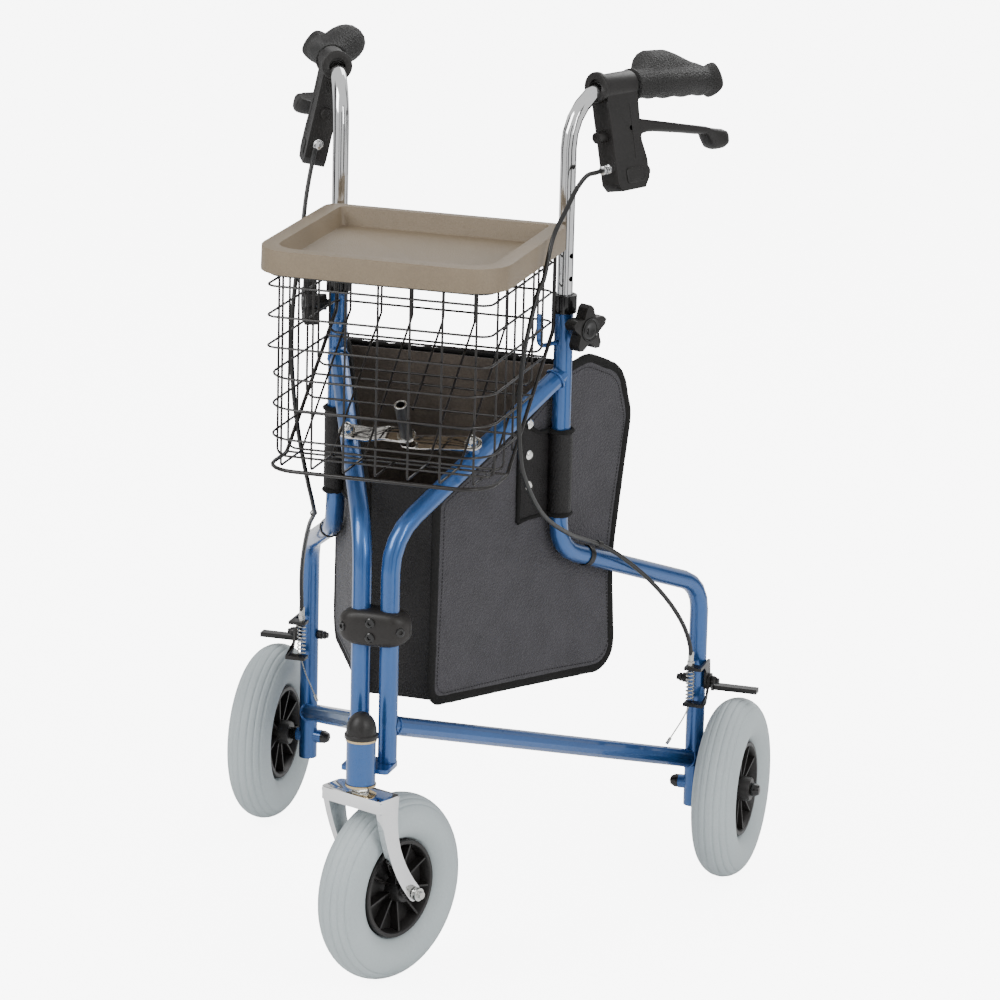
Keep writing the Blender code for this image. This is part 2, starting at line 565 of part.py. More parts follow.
# ---- rear brake ---------------------------------------------------------------------------
def rear_brake(fold):
    """Bracket, shoe arm and spring, square to the wheel on the outer side of the leg."""
    mount = pivot("left_brake_axis", fold.matrix_world @ Vector((0, LEG_S, BRAKE_BOLT_Z)), 0, fold)
    outer = TUBE_R + GAP
    plate = 0.003
    low = SPRING_Z[0] - BRAKE_BOLT_Z
    high = SPRING_Z[1] - BRAKE_BOLT_Z
    outline = [(SPRING_Y - 0.007, high + GAP), (SPRING_Y - 0.007, high + 0.004), (0.006, high + 0.004),
               (0.009, 0.004), (0.009, -0.008), (-0.009, -0.008), (-0.009, high - 0.008),
               (-0.018, high + GAP)]
    bracket = piece("left_brake_bracket", prism(outline, outer, outer + plate, "X"), BLACK, mount)
    shelf = box((-0.006, SPRING_Y - 0.007, high + GAP), (outer + plate / 2, SPRING_Y + 0.007, high + 0.0039))
    boolean(bracket, shelf, "UNION")
    bolt_r = 0.003
    for start, end, radius in ((-outer - 0.005, outer + 0.0105, bolt_r), (-outer - 0.005, -outer, 0.0055),
                               (outer + 2 * plate + 2 * GAP, outer + 2 * plate + 0.004, 0.0055)):
        boolean(bracket, cylinder(radius, (start, 0, 0), (end, 0, 0), 12), "UNION")
    boolean(bracket, cylinder(CABLE_D / 2 + GAP, (0, SPRING_Y, 0), (0, SPRING_Y, 0.05), 12))

    near = outer + plate + GAP
    top = sqrt(WHEEL_R ** 2 - 0.012 ** 2) - BRAKE_BOLT_Z + WHEEL_R + 0.006
    arm = [(SPRING_Y - 0.007, low - 0.0042), (SPRING_Y - 0.007, low - GAP), (-0.012, low + 0.004),
           (-0.007, 0.006),
           (0.005, 0.007), (0.014, top + 0.008), (0.027, top + 0.006), (0.027, top), (0.012, top),
           (0.004, -0.007),
           (-0.008, -0.008), (-0.018, low - 0.0042)]
    obj = piece("left_brake_arm", prism(arm, near, near + plate, "X"), BLACK, mount)
    tail = box((-0.006, SPRING_Y - 0.007, low - 0.0041), (near + plate / 2, SPRING_Y + 0.007, low - 2 * GAP))
    boolean(obj, tail, "UNION")
    shoe = box((near + plate / 2, 0.0145, top + 0.0002), (WHEEL_OFFSET + 0.021, 0.0265, top + 0.0056))
    boolean(obj, shoe, "UNION")
    boolean(obj, cylinder(bolt_r + GAP, (near - 0.001, 0, 0), (near + plate + 0.001, 0, 0), 12))
    boolean(obj, cylinder(0.0018, (0, SPRING_Y, low - 0.02), (0, SPRING_Y, low + 0.01), 10))

    turns, coil_r, wire_r = 5, 0.0043, 0.0007
    bottom, height = low + wire_r + GAP, high - low - 2 * wire_r - 2 * GAP
    steps = turns * 9
    helix = [(coil_r * cos(2 * pi * turns * i / steps), SPRING_Y + coil_r * sin(2 * pi * turns * i / steps),
              bottom + height * i / steps) for i in range(steps + 1)]
    piece("left_brake_spring", rod(helix, wire_r, 4), ZINC, mount)


# ---- handle -------------------------------------------------------------------------------
def handle(fold):
    """Chrome handle tube, grip, brake housing and lever on one side."""
    slide = pivot("left_handle_axis", fold.matrix_world @ Vector((0, UPRIGHT_S, 0)), -SPLAY, fold)
    end_s = HANDLE_END_S - UPRIGHT_S
    corners = [(0, 0, HANDLE_FOOT_Z), (0, 0, HANDLE_TOP_Z), (0, end_s,
                                                             HANDLE_TOP_Z - end_s * tan(HANDLE_FALL))]
    path = rounded_path(corners, HANDLE_BEND_R, 6)
    tube = piece("left_handle_tube", hollow_tube(path, HANDLE_R, HANDLE_R - HANDLE_WALL), CHROME, slide)
    holes = [cylinder(HOLE_D / 2, (HANDLE_R - 0.004, 0, z), (HANDLE_R + 0.003, 0, z), 8)
             for z in (KNOB_Z + k * HOLE_PITCH for k in range(-HOLES_EACH_WAY, HOLES_EACH_WAY + 1))]
    boolean(tube, merged(*holes))

    axis = Matrix.Translation((0, 0, HANDLE_TOP_Z)) @ Matrix.Rotation(-HANDLE_FALL, 4, "X")
    start = (GRIP_S[0] - UPRIGHT_S) / cos(HANDLE_FALL)
    stop = (GRIP_S[1] - UPRIGHT_S) / cos(HANDLE_FALL)
    tube_end = end_s / cos(HANDLE_FALL) + 0.002
    shape = [(0.00, 0.0175, 0.0175, 0, 0), (0.03, 0.0175, 0.0175, 0, 0), (0.05, 0.0150, 0.0150, 0, 0),
             (0.12, 0.0150, 0.0150, 0, 0), (0.16, 0.0235, 0.0200, -0.006, 0.006),
             (0.35, 0.0245, 0.0200, -0.008, 0.005),
             (0.60, 0.0210, 0.0190, -0.005, 0.003), (0.85, 0.0170, 0.0170, -0.002, 0.001),
             (0.90, 0.0180, 0.0190, 0, 0), (1.00, 0.0175, 0.0180, 0, 0)]
    bore = HANDLE_R + GAP
    outer = [[Vector((dx + w * cos(a), start + (stop - start) * t, dz + h * sin(a)))
              for a in (2 * pi * k / SIDES for k in range(SIDES))] for t, w, h, dx, dz in shape]
    inner = [[Vector((bore * cos(a), d, bore * sin(a))) for a in (2 * pi * k / SIDES for k in range(SIDES))]
             for d in (tube_end, start)]
    bm = rings_to_mesh(outer[::-1] + inner[::-1])
    for end in [f for f in bm.faces if len(f.verts) == SIDES]:
        flat = abs(end.calc_center_median().y - start) < 1e-6 and end.calc_area() > pi * 0.012 ** 2
        if flat:
            bm.faces.remove(end)
    piece("left_grip", moved(bm, axis), RUBBER, slide)

    roll = Matrix.Translation((0, 0, HANDLE_TOP_Z)) @ Matrix.Rotation(-HOUSING_ROLL, 4, "Y") @ \
        Matrix.Translation((0, 0, -HANDLE_TOP_Z))
    s0, s1 = HOUSING_S[0] - UPRIGHT_S, HOUSING_S[1] - UPRIGHT_S
    top_z = HANDLE_TOP_Z - (s0 + s1) / 2 * tan(HANDLE_FALL)
    clamp = HANDLE_R + 0.006
    half = HOUSING_W / 2
    outline = [(s0, HOUSING_BOTTOM + 0.008), (s0 + 0.006, HOUSING_BOTTOM), (s1 - 0.006, HOUSING_BOTTOM),
               (s1 + 0.002, HOUSING_BOTTOM + 0.010), (s1 + 0.002, HOUSING_BOTTOM + 0.030),
               (s1 - 0.003, HOUSING_BOTTOM + 0.050),
               (s1, top_z), (s0, top_z)]
    housing = piece("left_brake_housing", moved(prism(outline, -half, half, "X"), roll), BLACK, slide)
    boolean(housing, moved(cylinder(clamp, (0, s0 + 0.0002, top_z + 0.0002), (0, s1 - 0.0002, top_z - 0.0002),
                                    24), roll), "UNION")
    boolean(housing, rod(path, HANDLE_R + GAP))
    ps, pz = LEVER_PIVOT[0] - UPRIGHT_S, LEVER_PIVOT[1]
    slot = LEVER_W / 2 + 2 * GAP
    boolean(housing, moved(box((-slot, ps - 0.0155, pz - 0.031), (slot, s1 + 0.02, pz + 0.024)), roll))
    boolean(housing, moved(cylinder(0.0028, (-0.02, ps, pz), (0.02, ps, pz), 12), roll))

    tip_s, tip_z = LEVER_TIP[0] - UPRIGHT_S, LEVER_TIP[1]
    lever_outline = (arc((ps, pz), 0.013, 1.25, 4.6, 8)
                     + [(ps + 0.030, pz - 0.015), (ps + 0.060, pz - 0.019), (ps + 0.105, pz - 0.0235),
                        (tip_s - 0.024, pz - 0.026)]
                     + arc((tip_s, tip_z), 0.0105, 3.5, 4 * pi / 2 + 1.2, 8))
    lever = piece("left_brake_lever", moved(prism(lever_outline, -LEVER_W / 2, LEVER_W / 2, "X"), roll),
                  BLACK, slide)
    boolean(lever, moved(cylinder(0.0025, (-half + 0.001, ps, pz), (half - 0.001, ps, pz), 12), roll),
            "UNION")

    knob_axis = pivot("left_knob_axis", fold.matrix_world @ Vector((0, UPRIGHT_S, KNOB_Z)), -SPLAY, fold)
    star = []
    for k in range(KNOB_LOBES * 6):
        a = 2 * pi * k / (KNOB_LOBES * 6)
        star.append(((KNOB_R - 0.006 + 0.006 * cos(KNOB_LOBES * a)) * cos(a + pi / 2),
                     (KNOB_R - 0.006 + 0.006 * cos(KNOB_LOBES * a)) * sin(a + pi / 2)))
    knob = piece("left_knob", prism(star, 0.024, 0.038, "X"), BLACK, knob_axis)
    boolean(knob, cylinder(0.009, (0.013, 0, 0), (0.025, 0, 0)), "UNION")
    boolean(knob, cylinder(0.003, (HANDLE_R + 0.0005, 0, 0), (0.014, 0, 0), 12), "UNION")


# ---- mirror image -------------------------------------------------------------------------
def mirror_onto(obj, name, origin):
    """Rebuild an object as its own mirror image across the middle of the walker."""
    bpy.context.view_layer.update()
    shape = bpy.data.meshes.new_from_object(obj.evaluated_get(bpy.context.evaluated_depsgraph_get()))
    flip = Matrix.Scale(-1, 4, (1, 0, 0))
    place = flip @ Vector(origin)
    shape.transform(Matrix.Translation(-place) @ flip @ obj.matrix_world)
    shape.flip_normals()
    tools = [m.object for m in obj.modifiers]
    obj.modifiers.clear()
    for tool in tools:
        bpy.data.objects.remove(tool, do_unlink=True)
    obj.parent = None
    obj.data = shape
    obj.name = name
    obj.matrix_world = Matrix.Translation(place)


def mirror_side():
    """Copy every left piece to the right side."""
    for obj in list(bpy.data.objects):
        if obj.type != "MESH" or not obj.name.startswith("left_") or obj.hide_render:
            continue
        bpy.context.view_layer.update()
        evaluated = obj.evaluated_get(bpy.context.evaluated_depsgraph_get())
        shape = bpy.data.meshes.new_from_object(evaluated)
        flip = Matrix.Scale(-1, 4, (1, 0, 0))
        holder = obj.parent.matrix_world.translation if obj.parent else obj.matrix_world.translation
        place = flip @ holder
        shape.transform(Matrix.Translation(-place) @ flip @ obj.matrix_world)
        shape.flip_normals()
        copy = bpy.data.objects.new("right_" + obj.name[5:], shape)
        copy.location = place
        bpy.context.collection.objects.link(copy)


# ---- tray, basket and bag -----------------------------------------------------------------
def shell(name, bm, thickness, mat):
    obj = piece(name, bm, mat, None)
    solid = obj.modifiers.new("wall", "SOLIDIFY")
    solid.thickness = thickness
    solid.offset = -1
    solid.use_even_offset = True
    return obj


def tray():
    """Moulded tray: skirt, rim, recess walls and floor in one sheet."""
    low, high = TRAY_Z
    front, back = TRAY_Y
    draft = 0.003
    loops = [(TRAY_X, front, back, 0.040, 0.016, low), (TRAY_X - 0.0005, front + 0.0005, back - 0.0005, 0.040,
                                                        0.016, high),
             (TRAY_X - TRAY_RIM, front + TRAY_RIM, back - 0.0115, 0.026, 0.006, high),
             (TRAY_X - TRAY_RIM - draft, front + TRAY_RIM + draft, back - 0.0115 - draft, 0.024, 0.005,
              high - TRAY_DEPTH)]
    rings = [[Vector((px, py, z)) for px, py in rounded_box_outline(x, f, b, rf, rb, 6)]
             for x, f, b, rf, rb, z in loops]
    bm = rings_to_mesh(rings)
    open_end = min((f for f in bm.faces if len(f.verts) > 4), key=lambda f: f.calc_center_median().z)
    bm.faces.remove(open_end)
    shell("tray", bm, TRAY_WALL, TAUPE)


def basket():
    """Basket body with its open top, sloping back and the openings for hooks and finger grip."""
    front, back = BASKET_Y
    low, high = BASKET_Z
    levels = ((BASKET_FLOOR_Y, low), (back, BASKET_KNEE_Z), (back, high))
    bm = rings_to_mesh([[Vector((x, y, z)) for x, y in rounded_box_outline(BASKET_X, front, end, 0.035, 0.004,
                                                                           5)]
                        for end, z in levels])
    top = max((f for f in bm.faces), key=lambda f: f.calc_center_median().z)
    bm.faces.remove(top)
    obj = shell("basket", bm, BASKET_WALL, WIRE)
    hook_x = HALF_SPACING + HOOK_S * sin(SPLAY)
    hook_y = HOOK_S * cos(SPLAY)
    for side in (-1, 1):
        low_x, high_x = sorted((side * (hook_x - 0.018), side * (hook_x + 0.006)))
        boolean(obj, box((low_x, hook_y - 0.012, HOOK_Z[0] - 0.006),
                         (high_x, back + 0.01, HOOK_Z[0] + 0.026)))
    boolean(obj, box((-0.013, 0.062, low - 0.01), (0.013, 0.115, BASKET_KNEE_Z)))


def bag_gusset():
    """The bag's soft front, floor and back between the two side panels, open at the top."""
    inner = BAG_IN + BAG_T + 0.0012

    def half_width(s):
        return HALF_SPACING + s * sin(SPLAY) - inner * cos(SPLAY)

    def depth(s):
        return s * cos(SPLAY) + inner * sin(SPLAY)
    front, back = 0.082, 0.352
    floor = 0.290
    levels = ((floor, floor), (JOIN_Z - 0.150, JOIN_Z - 0.035))
    rings = []
    for z_front, z_back in levels:
        rings.append([Vector((-half_width(front), depth(front), z_front)),
                      Vector((half_width(front), depth(front), z_front)),
                      Vector((half_width(back), depth(back), z_back)),
                      Vector((-half_width(back), depth(back), z_back))])
    bm = rings_to_mesh(rings)
    top = max((f for f in bm.faces), key=lambda f: f.calc_center_median().z)
    bm.faces.remove(top)
    shell("bag_gusset", bm, 0.003, BAG)


# ---- brake cables -------------------------------------------------------------------------
def smooth_route(points, step):
    """Points every step along a smooth curve through the route's own points."""
    points = [Vector(p) for p in points]
    padded = [2 * points[0] - points[1]] + points + [2 * points[-1] - points[-2]]
    dense = []
    for a, b, c, d in zip(padded, padded[1:], padded[2:], padded[3:]):
        for i in range(12):
            t = i / 12
            dense.append(0.5 * (2 * b + (c - a) * t + (2 * a - 5 * b + 4 * c - d) * t * t
                                + (3 * b - a - 3 * c + d) * t ** 3))
    dense.append(points[-1])
    result, walked = [dense[0]], 0.0
    for a, b in zip(dense, dense[1:]):
        walked += (b - a).length
        if walked >= step:
            result.append(b)
            walked = 0.0
    result[-1] = dense[-1]
    return result


def cable(name, route):
    """A brake cable's outer casing."""
    curve = bpy.data.curves.new(name, "CURVE")
    curve.dimensions = "3D"
    curve.bevel_depth = CABLE_D / 2
    curve.bevel_resolution = 2
    curve.use_fill_caps = True
    spline = curve.splines.new("POLY")
    points = smooth_route(route, 3 * CABLE_D)
    spline.points.add(len(points) - 1)
    for point, place in zip(spline.points, points):
        point.co = (*place, 1)
    curve.materials.append(RUBBER)
    obj = bpy.data.objects.new(name, curve)
    bpy.context.collection.objects.link(obj)


def on_frame(side, out, s, z):
    """A place given in a side frame's own coordinates."""
    return (side * (HALF_SPACING + s * sin(SPLAY) + out * cos(SPLAY)), s * cos(SPLAY) - out * sin(SPLAY), z)


LEFT_CABLE = [(0.020, 0.3005, 0.838), (0.023, 0.287, 0.839), (0.028, 0.272, 0.840), (0.0355, 0.249, 0.841),
              (0.045, 0.223, 0.832), (0.0515, 0.200, 0.8136), (0.061, 0.1706, 0.7904), (0.066, 0.1525, 0.7505),
              (0.068, 0.1413, 0.7367), (0.075, 0.1158, 0.6826), (0.078, 0.1065, 0.6332), (0.0785, 0.108, 0.581),
              (0.0744, 0.1214, 0.5437), (0.0606, 0.1666, 0.4925), (0.040, 0.232, 0.4542), (0.024, 0.280, 0.434),
              (0.0185, 0.312, 0.420), (0.0185, 0.340, 0.404), (0.018, 0.385, 0.371), (0.017, 0.425, 0.335),
              (0.015, 0.455, 0.300), (0.0128, 0.471, 0.270), (0.01205, 0.4737, 0.249)]
RIGHT_CABLE = [(0.020, 0.3005, 0.838), (0.026, 0.284, 0.830), (0.036, 0.262, 0.790), (0.044, 0.238, 0.740),
               (0.052, 0.222, 0.690), (0.055, 0.214, 0.640), (0.052, 0.214, 0.585), (0.044, 0.222, 0.530),
               (0.033, 0.240, 0.480), (0.024, 0.266, 0.446), (0.0185, 0.302, 0.424), (0.0185, 0.345, 0.400),
               (0.018, 0.390, 0.367), (0.017, 0.428, 0.332), (0.015, 0.456, 0.299), (0.0128, 0.471, 0.270),
               (0.01205, 0.4737, 0.249)]


# ---- build --------------------------------------------------------------------------------
head()
caster()
left_fold = pivot("left_fold_axis", (HALF_SPACING, 0, 0), -SPLAY)
side_frame(left_fold)
rear_brake(left_fold)
handle(left_fold)
wheel("left_wheel", pivot("left_wheel_axis", left_fold.matrix_world @ Vector((0, LEG_S, WHEEL_R))
                          + Vector((WHEEL_OFFSET, 0, 0)), 0, left_fold))
mirror_side()
knee_place = brace_link("left_brace_link", left_fold, 1, 0.0)
brace_link("right_brace_link", left_fold, -1, LINK_STEP)
finger_grip(knee_place)
tray()
basket()
bag_gusset()
cable("left_brake_cable", [on_frame(1, *p) for p in LEFT_CABLE])
cable("right_brake_cable", [on_frame(-1, *p) for p in RIGHT_CABLE])
bpy.context.view_layer.update()
for top in [o for o in bpy.data.objects if o.parent is None]:
    top.matrix_world = Matrix.Translation(-ORIGIN) @ top.matrix_world
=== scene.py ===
"""Looks of the three-wheeled rollator: wires, bag, tyres, grips, cables, screws and every finish."""
import bmesh
import bpy
from math import atan2, cos, pi, radians, sin, tan
from mathutils import Matrix, Vector, noise


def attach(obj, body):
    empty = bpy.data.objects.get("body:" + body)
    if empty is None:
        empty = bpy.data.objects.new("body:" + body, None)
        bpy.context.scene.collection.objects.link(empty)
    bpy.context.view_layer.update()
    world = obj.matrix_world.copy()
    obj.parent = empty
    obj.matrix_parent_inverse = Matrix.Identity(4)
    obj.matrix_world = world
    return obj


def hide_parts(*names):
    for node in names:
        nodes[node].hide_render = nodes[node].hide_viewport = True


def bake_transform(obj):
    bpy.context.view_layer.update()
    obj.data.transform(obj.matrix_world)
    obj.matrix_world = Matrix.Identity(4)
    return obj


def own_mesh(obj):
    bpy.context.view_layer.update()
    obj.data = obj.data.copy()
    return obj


# ---- places and sizes, in metres ----------------------------------------------------------
SPLAY = radians(25.5)            # each side frame from straight back
FOLD_X, FOLD_Y = 0.0156, -0.2264    # left fold axis
TUBE_R = 0.0104
UPRIGHT_S = 0.259                # along the frame from the fold axis
LEG_S = 0.499
JOIN_Z = 0.620
FRONT_CORNER_Z = 0.486
WHEEL_R = 0.1016
TYRE_SECTION = 0.0249
RIM_R = 0.0535
RIM_W = 0.031
RIBS = 9                         # on each face of a rim
HUB_BORE = 0.0043
HUB_HALF = 0.0235
GROOVE_DEPTH = 0.0011            # tread grooves
GROOVE_HALF = radians(2.6)
REAR_WHEEL = (0.27513, 0.22399, WHEEL_R)
FRONT_WHEEL = (0.0182, -0.2209, WHEEL_R)
CASTER_TURN = radians(21.8)
HEAD_Y = FOLD_Y - 0.040
DOME_Z = 0.2785
DOME_R = 0.0162
CLAMP_Z = 0.389                  # hinge clamp round the front tubes
CLAMP_R = 0.018
TUBE_APART = 0.0209
BRACE_PIVOT = (0.06941, -0.12228, 0.56585)
KNEE_PIVOT = (0, -0.12922, 0.56187)
LINK_NORMAL = (0, -0.4973, 0.8676)
BAR_FRONT_Z, BAR_REAR_Z = 0.282, 0.1296    # lower bar
HANDLE_TOP_Z = 0.927
HANDLE_FALL = radians(4.6)
HOUSING_ROLL = radians(12)
GRIP_S = (0.3535, 0.488)
GRIP_R = 0.0148
GRIP_WING = 0.0315               # how far the palm wing stands out
KNOB_Z = 0.6735
BRAKE_BOLT_Z = 0.2245
BASKET_X = 0.1215                # wire centre lines
BASKET_Y = (-0.2398, -0.0138)
BASKET_Z = (0.5508, 0.758)
BASKET_FLOOR_Y = -0.1684
BASKET_KNEE_Z = 0.672
BASKET_CORNER = 0.034
ROW_PITCH = 0.0325
POST_PITCH = 0.035               # upright wires
POST_BEND = 0.0035
WIRE_R = 0.0013
HEAVY_WIRE_R = 0.0021
CABLE_R = 0.0025
BAG_INNER = 0.0187               # bag panel's inner face inside the frame plane

LEFT_ROUTE = [(0.020, 0.3005, 0.838), (0.023, 0.287, 0.839), (0.028, 0.272, 0.840), (0.0355, 0.249, 0.841),
              (0.045, 0.223, 0.832), (0.0515, 0.200, 0.8136), (0.061, 0.1706, 0.7904),
              (0.066, 0.1525, 0.7505), (0.068, 0.1413, 0.7367), (0.075, 0.1158, 0.6826),
              (0.078, 0.1065, 0.6332), (0.0785, 0.108, 0.581), (0.0744, 0.1214, 0.5437),
              (0.0606, 0.1666, 0.4925), (0.040, 0.232, 0.4542), (0.024, 0.280, 0.434), (0.0185, 0.312, 0.420),
              (0.0185, 0.340, 0.404), (0.018, 0.385, 0.371), (0.017, 0.425, 0.335), (0.015, 0.455, 0.300),
              (0.0128, 0.471, 0.270), (0.01205, 0.4737, 0.249)]
RIGHT_ROUTE = [(0.020, 0.3005, 0.838), (0.026, 0.284, 0.830), (0.036, 0.262, 0.790), (0.044, 0.238, 0.740),
               (0.052, 0.222, 0.690), (0.055, 0.214, 0.640), (0.052, 0.214, 0.585), (0.044, 0.222, 0.530),
               (0.033, 0.240, 0.480), (0.024, 0.266, 0.446), (0.0185, 0.302, 0.424), (0.0185, 0.345, 0.400),
               (0.018, 0.390, 0.367), (0.017, 0.428, 0.332), (0.015, 0.456, 0.299), (0.0128, 0.471, 0.270),
               (0.01205, 0.4737, 0.249)]

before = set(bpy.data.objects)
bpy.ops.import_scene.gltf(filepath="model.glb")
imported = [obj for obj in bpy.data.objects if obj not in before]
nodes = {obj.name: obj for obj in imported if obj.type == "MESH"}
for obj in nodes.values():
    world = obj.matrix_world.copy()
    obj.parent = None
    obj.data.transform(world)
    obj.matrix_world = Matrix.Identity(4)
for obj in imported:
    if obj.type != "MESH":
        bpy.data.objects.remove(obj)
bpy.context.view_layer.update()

LEFT = Matrix.Translation((FOLD_X, FOLD_Y, 0)) @ Matrix.Rotation(-SPLAY, 4, "Z")
MIRROR = Matrix.Scale(-1, 4, (1, 0, 0))
OUTWARDS = Matrix.Rotation(pi / 2, 4, "Y")     # turns Z to face outwards


# ---- shared shader groups -----------------------------------------------------------------
def new_group(name, inputs, outputs):
    group = bpy.data.node_groups.new(name, "ShaderNodeTree")
    for label, value in inputs:
        socket = group.interface.new_socket(label, in_out="INPUT", socket_type="NodeSocketFloat")
        socket.default_value = value
    for label in outputs:
        group.interface.new_socket(label, in_out="OUTPUT", socket_type="NodeSocketFloat")
    start = group.nodes.new("NodeGroupInput")
    end = group.nodes.new("NodeGroupOutput")
    place = group.nodes.new("ShaderNodeTexCoord").outputs["Object"]
    return group, start, end, place


def set_inputs(node, **values):
    """Set a node's sockets; an underscore stands for a space in the socket's name."""
    for label, value in values.items():
        node.inputs[label.replace("_", " ")].default_value = value


def math_node(tree, kind, a, b):
    node = tree.nodes.new("ShaderNodeMath")
    node.operation = kind
    for socket, value in zip(node.inputs, (a, b)):
        if isinstance(value, (int, float)):
            socket.default_value = value
        else:
            tree.links.new(value, socket)
    return node.outputs[0]


def cloudy_group():
    """Soft large patches and fine specks: colour variation, dust and handling marks."""
    group, start, end, place = new_group("handling_marks", [("Patch Scale", 18.0), ("Speck Scale", 420.0)],
                                         ["Patches", "Specks"])
    patch = group.nodes.new("ShaderNodeTexNoise")
    set_inputs(patch, Detail=5)
    speck = group.nodes.new("ShaderNodeTexNoise")
    set_inputs(speck, Detail=2)
    for node, label in ((patch, "Patch Scale"), (speck, "Speck Scale")):
        group.links.new(place, node.inputs["Vector"])
        group.links.new(start.outputs[label], node.inputs["Scale"])
    group.links.new(patch.outputs["Fac"], end.inputs["Patches"])
    group.links.new(speck.outputs["Fac"], end.inputs["Specks"])
    return group


def pebble_group():
    """Moulded pebble and leather grain as a height."""
    group, start, end, place = new_group("pebble_grain", [("Scale", 700.0), ("Softness", 0.4)], ["Height"])
    cells = group.nodes.new("ShaderNodeTexVoronoi")
    cells.feature = "SMOOTH_F1"
    fine = group.nodes.new("ShaderNodeTexNoise")
    set_inputs(fine, Detail=3)
    group.links.new(place, cells.inputs["Vector"])
    group.links.new(place, fine.inputs["Vector"])
    group.links.new(start.outputs["Scale"], cells.inputs["Scale"])
    group.links.new(start.outputs["Softness"], cells.inputs["Smoothness"])
    group.links.new(math_node(group, "MULTIPLY", start.outputs["Scale"], 1.7), fine.inputs["Scale"])
    half = math_node(group, "MULTIPLY", fine.outputs["Fac"], 0.5)
    group.links.new(math_node(group, "ADD", cells.outputs["Distance"], half), end.inputs["Height"])
    return group


MARKS = cloudy_group()
PEBBLE = pebble_group()


def finish(name, colour, dark, roughness, spread=0.1, metallic=0.0, coat=0.0, grain=700.0, depth=0.0,
           patch=18.0, speck=420.0, sheen=0.0, shine=0.5):
    """One surface finish: patchy colour between two tones, uneven roughness and a grain bump."""
    mat = bpy.data.materials.new(name)
    mat.use_nodes = True
    tree = mat.node_tree
    shader = tree.nodes["Principled BSDF"]
    set_inputs(shader, Metallic=metallic, Coat_Weight=coat, Coat_Roughness=0.06, Sheen_Weight=sheen,
               Specular_IOR_Level=shine)
    marks = tree.nodes.new("ShaderNodeGroup")
    marks.node_tree = MARKS
    set_inputs(marks, Patch_Scale=patch, Speck_Scale=speck)
    mixed = math_node(tree, "ADD", math_node(tree, "MULTIPLY", marks.outputs["Patches"], 0.6),
                      math_node(tree, "MULTIPLY", marks.outputs["Specks"], 0.4))
    ramp = tree.nodes.new("ShaderNodeValToRGB")
    for stop, position, tone in zip(ramp.color_ramp.elements, (0.36, 0.64), (dark, colour)):
        stop.position = position
        stop.color = (*tone, 1)
    tree.links.new(mixed, ramp.inputs["Fac"])
    tree.links.new(ramp.outputs["Color"], shader.inputs["Base Color"])
    rough = tree.nodes.new("ShaderNodeMapRange")
    set_inputs(rough, From_Min=0.3, From_Max=0.7, To_Min=max(roughness - spread, 0.02),
               To_Max=min(roughness + spread, 1.0))
    tree.links.new(mixed, rough.inputs["Value"])
    tree.links.new(rough.outputs["Result"], shader.inputs["Roughness"])
    if depth:
        pebble = tree.nodes.new("ShaderNodeGroup")
        pebble.node_tree = PEBBLE
        set_inputs(pebble, Scale=grain)
        bump = tree.nodes.new("ShaderNodeBump")
        set_inputs(bump, Strength=0.6, Distance=depth)
        tree.links.new(pebble.outputs["Height"], bump.inputs["Height"])
        tree.links.new(bump.outputs["Normal"], shader.inputs["Normal"])
    return mat


PAINT = finish("metallic_blue_paint", (0.030, 0.115, 0.335), (0.020, 0.085, 0.265), 0.30, 0.05,
               metallic=0.6, coat=0.8, grain=260, depth=0.00006, patch=9, speck=2400)
CHROME = finish("polished_chrome", (0.86, 0.86, 0.86), (0.78, 0.79, 0.80), 0.07, 0.03, metallic=1.0, patch=14)
ZINC = finish("zinc_plate", (0.66, 0.66, 0.64), (0.50, 0.50, 0.47), 0.26, 0.10,
              metallic=1.0, grain=900, depth=0.00005)
DARK_STEEL = finish("polished_strip", (0.62, 0.60, 0.57), (0.48, 0.46, 0.43), 0.12, 0.05, metallic=1.0)
PLASTIC = finish("moulded_black_plastic", (0.015, 0.0135, 0.013), (0.008, 0.0075, 0.007), 0.42, 0.08,
                 grain=1300, depth=0.0001, shine=0.4)
GLOSSY = finish("glossy_black_plastic", (0.008, 0.0075, 0.0075), (0.005, 0.005, 0.005), 0.16, 0.04)
BROWN_BLACK = finish("matte_brown_black", (0.017, 0.0145, 0.013), (0.010, 0.0085, 0.0075), 0.46, 0.08,
                     grain=1100, depth=0.0001, shine=0.4)
STEEL_BLACK = finish("black_coated_steel", (0.012, 0.011, 0.011), (0.007, 0.0065, 0.0065), 0.32, 0.08,
                     metallic=0.2)
STIPPLE = finish("stippled_grip_rubber", (0.012, 0.011, 0.0105), (0.005, 0.0048, 0.0045), 0.60, 0.10,
                 grain=520, depth=0.0040)
TYRE = finish("pale_grey_tyre", (0.44, 0.495, 0.505), (0.38, 0.43, 0.445), 0.55, 0.08,
              grain=500, depth=0.0001, patch=11)
TRAY = finish("pebbled_taupe", (0.205, 0.158, 0.104), (0.172, 0.132, 0.086), 0.46, 0.06, grain=1100,
              depth=0.0005)
WIRE = finish("coated_wire", (0.009, 0.007, 0.006), (0.005, 0.004, 0.0035), 0.34, 0.08, grain=600,
              depth=0.00008)
VINYL = finish("charcoal_vinyl", (0.060, 0.058, 0.064), (0.046, 0.0445, 0.049), 0.52, 0.08,
               grain=420, depth=0.0030, patch=30, speck=700, sheen=0.05, shine=0.16)
# Darker vinyl: the sleeve strap's own black, and painted shade on the bag's front cloth and front floor,
# which are the same vinyl as the rest of the bag.
BLACK_VINYL_AND_PAINTED_SHADE = finish("black_vinyl_and_painted_shade", (0.012, 0.011, 0.011), (0.006, 0.0055, 0.0055), 0.46,
              grain=620, depth=0.0012, patch=26, shine=0.3)
LINING = finish("brown_grey_lining", (0.150, 0.120, 0.095), (0.085, 0.068, 0.054), 0.70, 0.08,
                grain=1600, depth=0.0004, patch=30, sheen=0.3)
